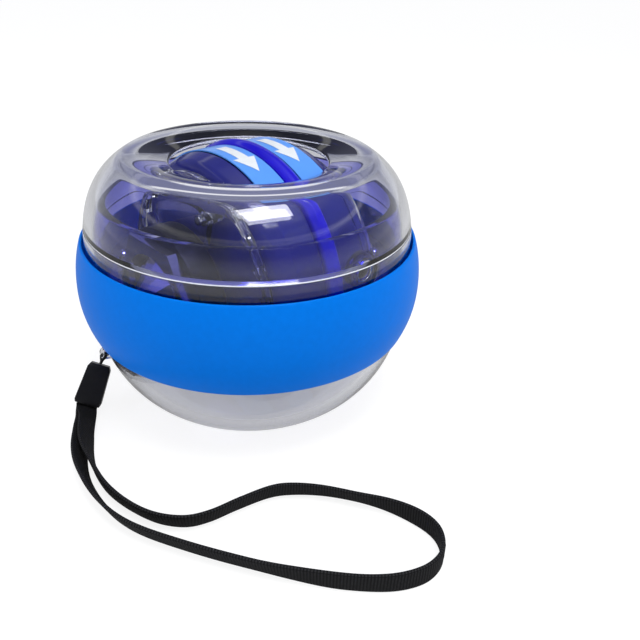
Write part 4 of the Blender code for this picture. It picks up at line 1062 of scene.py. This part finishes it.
def build_halves():
    """The rotor's two glossy halves."""
    rim = RIB_HALF_WIDTH + GAP
    body = BAND_RADIUS - STICKER_THICKNESS - GAP
    start = BAND_HALF_WIDTH + GAP
    cavity, floor = body - ROTOR_WALL, ROTOR_HALF_WIDTH - ROTOR_SIDE_WALL
    hub_end = ROTOR_HALF_WIDTH + HUB_PROUD
    inwards, downwards = SHOULDER_CUT
    outline = [(body, rim), (body, start)]
    for step in range(SHOULDER_STEPS + 1):
        height = start + (ROTOR_HALF_WIDTH - SHOULDER_ROUND - start) * step / SHOULDER_STEPS
        outline.append((math.sqrt(ROTOR_SWEEP ** 2 - height ** 2) - GAP, height))
    cut = outline[-1][0] - SHOULDER_ROUND * inwards
    outline += [(cut, ROTOR_HALF_WIDTH - SHOULDER_ROUND * downwards),
                (cut - SHOULDER_ROUND, ROTOR_HALF_WIDTH), (HUB_RADIUS, ROTOR_HALF_WIDTH),
                (HUB_RADIUS, hub_end), (AXLE_HOLE, hub_end), (AXLE_HOLE, rim), (HUB_CORE, rim),
                (HUB_CORE, floor), (cavity - ROTOR_WALL, floor), (cavity, floor - ROTOR_WALL),
                (cavity, rim)]
    for side, label in SIDES:
        half = rounded(mirrored(outline, side), SMALL_ROUND)
        put("rotor_" + label, lathe(half, ROTOR_SIDES, AXLE_PLACE), "rotor plastic", "rotor",
            ["rotor_half_" + label])


def build_films(count):
    """The printed films, as arcs of the bands on the rotor's halves."""
    low, rim = BAND_RADIUS - STICKER_THICKNESS, RIB_HALF_WIDTH + GAP
    section = [(BAND_RADIUS, rim), (BAND_RADIUS, BAND_HALF_WIDTH), (low, BAND_HALF_WIDTH),
               (low, rim)]
    for side, label in SIDES:
        arcs = bmesh.new()
        for index in range(count):
            middle = FILM_MIDDLE + 360 * index / count
            swept(mirrored(section, side), middle - FILM_SPAN / 2, middle + FILM_SPAN / 2,
                  FILM_STEPS, AXLE_PLACE, arcs)
        put("film_" + label, arcs, "sticker film", "rotor", ["sticker_band_" + label])


def build_rib_and_axle():
    """The rib between the halves, the axle and the trim ring."""
    seat, crest = RIB_RADIUS - RIB_SEAT_DEPTH, RIB_RADIUS - RIB_HALF_WIDTH / 2
    rib = [(seat, -RIB_HALF_WIDTH), (crest, -RIB_HALF_WIDTH), (RIB_RADIUS, -RIB_HALF_WIDTH / 3),
           (RIB_RADIUS, RIB_HALF_WIDTH / 3), (crest, RIB_HALF_WIDTH), (seat, RIB_HALF_WIDTH)]
    put("rib", lathe(rounded(rib, SOFT_ROUND), ROTOR_SIDES, AXLE_PLACE), "rib plastic", "rotor",
        ["mid_rib"])
    shoulder = CONE_END - AXLE_SETBACK
    rod = [(0, -AXLE_REACH), (AXLE_TIP_RADIUS, -AXLE_REACH), (AXLE_TIP_RADIUS, -shoulder),
           (AXLE_RADIUS, -shoulder), (AXLE_RADIUS, shoulder), (AXLE_TIP_RADIUS, shoulder),
           (AXLE_TIP_RADIUS, AXLE_REACH), (0, AXLE_REACH)]
    put("rotor_axle", lathe(rounded(rod, AXLE_ROUND), SMALL_SIDES, AXLE_PLACE), "polished steel",
        "rotor", ["axle"])
    high, inner = -ROTOR_HALF_WIDTH - GAP, RATCHET_OUTER - TRIM_WALL
    low = high - TRIM_WIDTH
    trim = [(RATCHET_OUTER, low), (RATCHET_OUTER, high), (inner, high), (inner, low)]
    put("trim", lathe(rounded(trim, SMALL_ROUND), ROTOR_SIDES, AXLE_PLACE), "polished steel",
        "rotor", ["trim_ring"])


def build_arrows(count, length):
    """Pale arrows printed round each film band, laid on its curve."""
    span = length / BAND_RADIUS
    head = span * ARROW_HEAD_SHARE
    head_steps = [head * step / ARROW_HEAD_STEPS for step in range(ARROW_HEAD_STEPS + 1)]
    shaft_steps = [head + (span - head) * step / ARROW_SHAFT_STEPS
                   for step in range(ARROW_SHAFT_STEPS + 1)]
    low = BAND_RADIUS + ARROW_LIFT
    high = low + ARROW_THICKNESS

    def head_width(back):
        return max(ARROW_HEAD_HALF_WIDTH * back / head, ARROW_TIP_HALF_WIDTH)

    for side, label in SIDES:
        build = bmesh.new()
        for steps, width in ((head_steps, head_width),
                             (shaft_steps, lambda back: ARROW_SHAFT_HALF_WIDTH)):
            rings = []
            for back in steps:
                near, far = [side * ARROW_CENTRE + edge * width(back) for edge in (-1, 1)]
                corners = ((low, near), (high, near), (high, far), (low, far))
                rings.append([polar(radius, back, place) for radius, place in corners])
            tube(rings, build=build)
        name = "arrows_" + label
        arrow = loose_object("arrow", build)
        mesh = ring_of_copies(name, arrow, count, 0.0, math.radians(ARROW_TIP_ANGLE), "arrow print")
        mesh.transform(AXLE_PLACE)
        settle(name, mesh, "arrow print", "rotor", [])


def build_ratchet():
    """Clear ring on the rotor's left flank with its teeth."""
    root = RATCHET_OUTER - RATCHET_WALL
    band = [(RATCHET_OUTER, RATCHET_START), (RATCHET_OUTER, RATCHET_END), (root, RATCHET_END),
            (root, RATCHET_START)]
    put("ratchet_band", lathe(rounded(band, SMALL_ROUND), ROTOR_SIDES, AXLE_PLACE),
        "clear plastic", "rotor", ["ratchet_ring"])
    low, high = RATCHET_START + GAP / 3, RATCHET_END - GAP / 3
    base = root + GAP / 3
    rings = []
    for share, depth in TOOTH_STATIONS:
        turn = 2 * math.pi / TOOTH_COUNT * share
        tip = base - (TOOTH_DEPTH + GAP / 3) * depth
        corners = ((base, low), (tip, low), (tip, high), (base, high))
        rings.append([polar(radius, turn, height) for radius, height in corners])
    tooth = loose_object("tooth", tube(rings))
    spin = math.radians(TOOTH_FACE_ANGLE)
    mesh = ring_of_copies("ratchet_teeth", tooth, TOOTH_COUNT, 0.0, spin, "clear plastic")
    mesh.transform(AXLE_PLACE)
    settle("ratchet_teeth", mesh, "clear plastic", "rotor", [])


def dress_hidden_nodes():
    """Give the CAD pieces that keep their own shape their finish."""
    finishes = {
        "brass": ("bush_left", "bush_right"),
        "clear plastic": ("pawl_carrier",),
        "polished steel": ("power_spring", "spring_arbor", "pawl_a", "pawl_b",
                           "weight_ring_left", "weight_ring_right"),
    }
    for name, nodes in finishes.items():
        for node in nodes:
            slots = frame["nodes"][node].data.materials
            slots.clear()
            slots.append(finish(name))


# Wrist strap

def keyed(keys, place):
    """Value at a place along the keys, eased from each one to the next."""
    for (start, low), (end, high) in zip(keys, keys[1:]):
        if place < end:
            share = max(place - start, 0.0) / (end - start)
            return low + (high - low) * share * share * (3 - 2 * share)
    return keys[-1][1]


def clip_frame():
    """The clip's long direction, its width in line with the leaning webbing, and its depth."""
    length = (CLIP_TOP - CLIP_BASE).normalized()
    right = Vector((-length.x, -length.y, 0)).cross(Vector((0, 0, 1))).normalized()
    lean = math.radians(ROLL_OUT[0][1])
    wide = Vector((0, 0, math.cos(lean))) + right * math.sin(lean)
    wide = (wide - length * wide.dot(length)).normalized()
    return length, wide, length.cross(wide)


def build_clip():
    """Tapered plastic clip with soft edges."""
    length, wide, deep = clip_frame()
    reach = (CLIP_TOP - CLIP_BASE).length
    across, through = CLIP_WIDTH / 2, CLIP_THICKNESS / 2
    corners = [(-across, -through), (across, -through), (across, through), (-across, through)]
    outline = rounded(corners, CLIP_ROUND, steps=5, off_axis=True)
    rings = []
    for share, size in CLIP_TAPER:
        centre = CLIP_BASE + length * reach * share
        rings.append([centre + wide * x * size + deep * y * size for x, y in outline])
    return put("clip", tube(rings), "black moulded plastic", "shell", ["strap_clip"],
               smooth=50)


def webbing_line(count):
    """Middle points of the webbing and its lean at each, from the clip and back into it."""
    length, _, deep = clip_frame()
    base = CLIP_BASE - length * WEBBING_START_GAP
    first, last = base - deep * WEBBING_LAYER_OFFSET, base + deep * WEBBING_LAYER_OFFSET
    route = [(first.x, first.y, 0)] + [(x, y, 0) for x, y in WEBBING_ROUTE] + [(last.x, last.y, 0)]
    path, total = smooth_route(route, count)
    leans = []
    for index, point in enumerate(path):
        gone = total * index / (len(path) - 1)
        out = gone < total / 2
        near = min(gone, total - gone)
        lean = math.radians(keyed(ROLL_OUT if out else ROLL_BACK, near))
        rest = WEBBING_WIDTH / 2 * abs(math.cos(lean)) + WEBBING_THICKNESS / 2 * abs(math.sin(lean))
        point.z = rest + WEBBING_FLOOR_GAP + keyed(LIFT_OUT if out else LIFT_BACK, near)
        leans.append(lean)
    return path, leans, total


def webbing_section():
    """Outline of the flat strap across its width, with rounded selvedges."""
    half, thick = WEBBING_WIDTH / 2, WEBBING_THICKNESS / 2
    outline = []
    for start, side in ((-90, 1), (90, -1)):
        for step in range(SELVEDGE_STEPS + 1):
            turn = math.radians(start + 180 * step / SELVEDGE_STEPS)
            outline.append((side * (half - thick) + thick * math.cos(turn), thick * math.sin(turn)))
    return outline


def build_webbing():
    """Webbing that leans at the clip and stands on its edge round the loop, with its line."""
    length = clip_frame()[0]
    path, leans, total = webbing_line(WEBBING_RINGS)
    outline = webbing_section()
    last = len(path) - 1
    rings = []
    for index, (point, heading) in enumerate(zip(path, headings(path))):
        gone = total * index / last
        turned_away = min(min(gone, total - gone) / WEBBING_BEND, 1.0)
        heading = (-length if gone < total / 2 else length).lerp(heading, turned_away).normalized()
        right = heading.cross(Vector((0, 0, 1))).normalized()
        up = Vector((0, 0, math.cos(leans[index]))) + right * math.sin(leans[index])
        up = (up - heading * up.dot(heading)).normalized()
        face = heading.cross(up)
        rings.append([point + up * across + face * through for across, through in outline])

    def weave_place(ring, column):
        return total * ring / last, outline[column % len(outline)][0]

    webbing = put("webbing", tube(rings, weave_place), "woven nylon", "shell", ["strap_webbing"],
                  smooth=50)
    return webbing, path, total


def build_string():
    """String from the clip through the eyelet and back."""
    length, _, deep = clip_frame()
    top = CLIP_TOP + length * GAP
    points = [top + deep * STRING_SIDE_OFFSET] + [Vector(point) for point in STRING_ROUTE]
    points.append(top - deep * STRING_SIDE_OFFSET)
    line, reach = smooth_route(points, STRING_RINGS)
    last = len(line) - 1
    rings = []
    side = deep
    for point, heading in zip(line, headings(line)):
        side = (side - heading * side.dot(heading)).normalized()
        over = heading.cross(side)
        turns = [2 * math.pi * step / STRING_SIDES for step in range(STRING_SIDES)]
        rings.append([point + STRING_RADIUS * (side * math.cos(turn) + over * math.sin(turn))
                      for turn in turns])

    def string_place(ring, column):
        return reach * ring / last, STRING_RADIUS * 2 * math.pi * column / STRING_SIDES

    return put("string", tube(rings, string_place), "woven nylon", "shell", ["strap_string"],
               smooth=60)


def build_strap():
    """The wrist strap: its clip, its webbing and its string."""
    clip = build_clip()
    webbing, path, total = build_webbing()
    string = build_string()
    exit_point = (shell_radius(EYELET_HEIGHT) + EYELET_HOLE_RADIUS) * level_direction(EYELET_ANGLE)
    exit_point.z = EYELET_HEIGHT


# Stage

def fill_world(tree, matt_strength):
    """White for the camera, soft blue greys for gloss and clear plastic, even light elsewhere."""
    rays = add_node(tree, "ShaderNodeLightPath")
    in_glass = add_node(tree, "ShaderNodeMath", operation="MAXIMUM")
    coords = add_node(tree, "ShaderNodeTexCoord")
    split = add_node(tree, "ShaderNodeSeparateXYZ")
    studio = add_node(tree, "ShaderNodeValToRGB")
    ramp = studio.color_ramp
    ramp.interpolation = "EASE"
    while len(ramp.elements) < len(STUDIO_SHADES):
        ramp.elements.new(0.5)
    for element, (place, _) in zip(ramp.elements, STUDIO_SHADES):
        element.position = place
    for element, (_, shade) in zip(ramp.elements, STUDIO_SHADES):
        element.color = (*shade, 1)
    shown = add_node(tree, "ShaderNodeBackground", {"Color": (1, 1, 1, 1)})
    room = add_node(tree, "ShaderNodeBackground")
    matt = add_node(tree, "ShaderNodeBackground", {"Color": ROOM_TINT, "Strength": matt_strength})
    for_glass = add_node(tree, "ShaderNodeMixShader")
    for_camera = add_node(tree, "ShaderNodeMixShader")
    output = add_node(tree, "ShaderNodeOutputWorld")
    join(tree, (coords, "Generated", split, "Vector"), (split, "Z", studio, "Fac"),
         (studio, "Color", room, "Color"), (rays, "Is Glossy Ray", in_glass, 0),
         (rays, "Is Transmission Ray", in_glass, 1), (in_glass, "Value", for_glass, "Fac"),
         (matt, "Background", for_glass, 1), (room, "Background", for_glass, 2),
         (rays, "Is Camera Ray", for_camera, "Fac"), (for_glass, "Shader", for_camera, 1),
         (shown, "Background", for_camera, 2), (for_camera, "Shader", output, "Surface"))


def floor_paint():
    """Pale matt paint that glows white for the camera, and less in reflections."""
    made = plain_material("pale floor", (0.9, 0.9, 0.9), 0.9)
    tree = made.node_tree
    rays = add_node(tree, "ShaderNodeLightPath")
    glow = add_node(tree, "ShaderNodeEmission")
    strength = add_node(tree, "ShaderNodeMath", {1: FLOOR_GLOW_DIMMED, 2: FLOOR_GLOW},
                        operation="MULTIPLY_ADD")
    straight = add_node(tree, "ShaderNodeMath", operation="MAXIMUM")
    seen = add_node(tree, "ShaderNodeMath", operation="MAXIMUM")
    share = add_node(tree, "ShaderNodeMath", {1: FLOOR_GLOW_SHARE}, operation="MULTIPLY")
    mix = add_node(tree, "ShaderNodeMixShader")
    join(tree, (rays, "Is Glossy Ray", strength, 0), (strength, "Value", glow, "Strength"),
         (rays, "Is Camera Ray", straight, 0), (rays, "Is Transmission Ray", straight, 1),
         (straight, "Value", seen, 0), (rays, "Is Glossy Ray", seen, 1),
         (seen, "Value", share, 0), (share, "Value", mix, "Fac"),
         (tree.nodes["Principled BSDF"], "BSDF", mix, 1), (glow, "Emission", mix, 2),
         (mix, "Shader", tree.nodes["Material Output"], "Surface"))
    return made


def build_floor(size):
    """Pale floor that keeps the ball's shadow."""
    build = bmesh.new()
    corners = [(x * size / 2, y * size / 2, 0) for x, y in ((-1, -1), (1, -1), (1, 1), (-1, 1))]
    build.faces.new([build.verts.new(corner) for corner in corners])
    mesh = bpy.data.meshes.new("floor")
    build.to_mesh(mesh)
    build.free()
    mesh.materials.append(floor_paint())
    floor = bpy.data.objects.new("floor", mesh)
    floor.location.z = -FLOOR_DROP
    bpy.context.scene.collection.objects.link(floor)


def add_light(name, place, size, power, mirrored_in_gloss):
    """A soft area light aimed at the ball; glossy and clear pieces mirror it or not."""
    light = bpy.data.lights.new(name, "AREA")
    light.shape = "RECTANGLE"
    light.size, light.size_y = size
    light.energy = power
    lamp = bpy.data.objects.new(name, light)
    lamp.location = place
    lamp.visible_glossy = lamp.visible_transmission = mirrored_in_gloss
    lamp.rotation_euler = (Vector(LAMP_TARGET) - Vector(place)).to_track_quat("-Z", "Y").to_euler()
    bpy.context.scene.collection.objects.link(lamp)


def build_camera():
    """Camera at the place and turn that the photograph was taken from."""
    ahead = Vector((math.sin(CAMERA_YAW) * math.cos(CAMERA_PITCH),
                    math.cos(CAMERA_YAW) * math.cos(CAMERA_PITCH), -math.sin(CAMERA_PITCH)))
    right = Vector((math.cos(CAMERA_YAW), -math.sin(CAMERA_YAW), 0))
    up = right.cross(ahead)
    c, s = math.cos(CAMERA_ROLL), math.sin(CAMERA_ROLL)
    right, up = right * c + up * s, up * c - right * s
    data = bpy.data.cameras.new("camera")
    data.sensor_width = SENSOR_WIDTH_MM
    data.lens = FOCAL_PIXELS * SENSOR_WIDTH_MM / FRAME_PIXELS
    data.clip_start = CAMERA_CLIP
    camera = bpy.data.objects.new("camera", data)
    turn = Matrix((right, up, -ahead)).transposed().to_4x4()
    camera.matrix_world = Matrix.Translation(CAMERA_PLACE) @ turn
    bpy.context.scene.collection.objects.link(camera)
    bpy.context.scene.camera = camera


# Operators

class WRISTBALL_OT_stage(bpy.types.Operator):
    """Make the camera, the floor, the lights and the background"""
    bl_idname = "wristball.stage"
    bl_label = "Stage"

    def execute(self, context):
        settings = context.scene.wrist_ball_stage
        context.scene.view_settings.view_transform = "Standard"
        build_camera()
        build_floor(settings.floor_size)
        world = bpy.data.worlds.new("studio")
        world.use_nodes = True
        tree = world.node_tree
        tree.nodes.clear()
        fill_world(tree, settings.ambient)
        context.scene.world = world
        add_light("key", KEY_PLACE, KEY_SIZE, settings.key_power, mirrored_in_gloss=True)
        for name, place in SIDE_PLACES.items():
            add_light(name, place, SIDE_SIZE, settings.side_power, mirrored_in_gloss=False)
        return {"FINISHED"}


class WRISTBALL_OT_strap(bpy.types.Operator):
    """Make the wrist strap, its clip and its string"""
    bl_idname = "wristball.strap"
    bl_label = "Wrist strap"

    def execute(self, context):
        build_strap()
        return {"FINISHED"}


class WRISTBALL_OT_shell(bpy.types.Operator):
    """Make the clear dome and bowl"""
    bl_idname = "wristball.shell"
    bl_label = "Clear shell"

    def execute(self, context):
        build_upper_shell()
        build_lower_shell()
        build_seam()
        return {"FINISHED"}


class WRISTBALL_OT_grip(bpy.types.Operator):
    """Make the silicone grip band"""
    bl_idname = "wristball.grip"
    bl_label = "Grip band"

    def execute(self, context):
        build_grip_band(context.scene.wrist_ball_shell.grip_round)
        return {"FINISHED"}


class WRISTBALL_OT_liner(bpy.types.Operator):
    """Make the tinted liner rings and the boss"""
    bl_idname = "wristball.liner"
    bl_label = "Liner and boss"

    def execute(self, context):
        build_low_liner()
        build_high_liner()
        return {"FINISHED"}


class WRISTBALL_OT_ring(bpy.types.Operator):
    """Make the precessing ring, its screws, the cones and the spring drum"""
    bl_idname = "wristball.ring"
    bl_label = "Precessing ring"

    def execute(self, context):
        build_ring_halves()
        build_screws()
        build_bearings()
        build_spring_set()
        return {"FINISHED"}


class WRISTBALL_OT_rotor(bpy.types.Operator):
    """Make the rotor, its film bands and its axle"""
    bl_idname = "wristball.rotor"
    bl_label = "Rotor"

    def execute(self, context):
        build_halves()
        build_films(context.scene.wrist_ball_rotor.arrow_count)
        build_rib_and_axle()
        return {"FINISHED"}


class WRISTBALL_OT_arrows(bpy.types.Operator):
    """Copy the direction arrows round the film bands"""
    bl_idname = "wristball.arrows"
    bl_label = "Arrows"

    def execute(self, context):
        settings = context.scene.wrist_ball_rotor
        build_arrows(settings.arrow_count, settings.arrow_length)
        return {"FINISHED"}


class WRISTBALL_OT_ratchet(bpy.types.Operator):
    """Make the toothed ring on the rotor's flank"""
    bl_idname = "wristball.ratchet"
    bl_label = "Ratchet"

    def execute(self, context):
        build_ratchet()
        return {"FINISHED"}


class WRISTBALL_OT_inner(bpy.types.Operator):
    """Give the inner pieces of the frame their finishes"""
    bl_idname = "wristball.inner"
    bl_label = "Inner pieces"

    def execute(self, context):
        dress_hidden_nodes()
        return {"FINISHED"}


class WRISTBALL_PT_pieces(bpy.types.Panel):
    """Pieces of the wrist ball and their settings"""
    bl_idname = "WRISTBALL_PT_pieces"
    bl_label = "Wrist Ball"
    bl_space_type = "VIEW_3D"
    bl_region_type = "UI"
    bl_category = "Wrist Ball"

    def draw(self, context):
        for operator in OPERATORS:
            self.layout.operator(operator.bl_idname)
        for group in GROUPS:
            settings = getattr(context.scene, "wrist_ball_" + group)
            for name in settings.__annotations__:
                self.layout.prop(settings, name)


OPERATORS = (
    WRISTBALL_OT_stage, WRISTBALL_OT_strap, WRISTBALL_OT_shell, WRISTBALL_OT_grip,
    WRISTBALL_OT_liner, WRISTBALL_OT_ring, WRISTBALL_OT_rotor, WRISTBALL_OT_arrows,
    WRISTBALL_OT_ratchet, WRISTBALL_OT_inner,
)
GROUPS = {"shell": WristBallShell, "rotor": WristBallRotor, "strap": WristBallStrap,
          "stage": WristBallStage}


def register():
    """Register the settings, the operators and the panel."""
    for name, group in GROUPS.items():
        bpy.utils.register_class(group)
        setattr(bpy.types.Scene, "wrist_ball_" + name, PointerProperty(type=group))
    for operator in OPERATORS:
        bpy.utils.register_class(operator)
    bpy.utils.register_class(WRISTBALL_PT_pieces)


def unregister():
    """Take everything that register added away again."""
    bpy.utils.unregister_class(WRISTBALL_PT_pieces)
    for operator in reversed(OPERATORS):
        bpy.utils.unregister_class(operator)
    for name, group in GROUPS.items():
        delattr(bpy.types.Scene, "wrist_ball_" + name)
        bpy.utils.unregister_class(group)


def main():
    """Build every piece."""
    register()
    bpy.ops.wristball.stage()
    bpy.ops.wristball.strap()
    bpy.ops.wristball.shell()
    bpy.ops.wristball.grip()
    bpy.ops.wristball.liner()
    bpy.ops.wristball.ring()
    bpy.ops.wristball.rotor()
    bpy.ops.wristball.arrows()
    bpy.ops.wristball.ratchet()
    bpy.ops.wristball.inner()


if __name__ == "__main__":
    main()
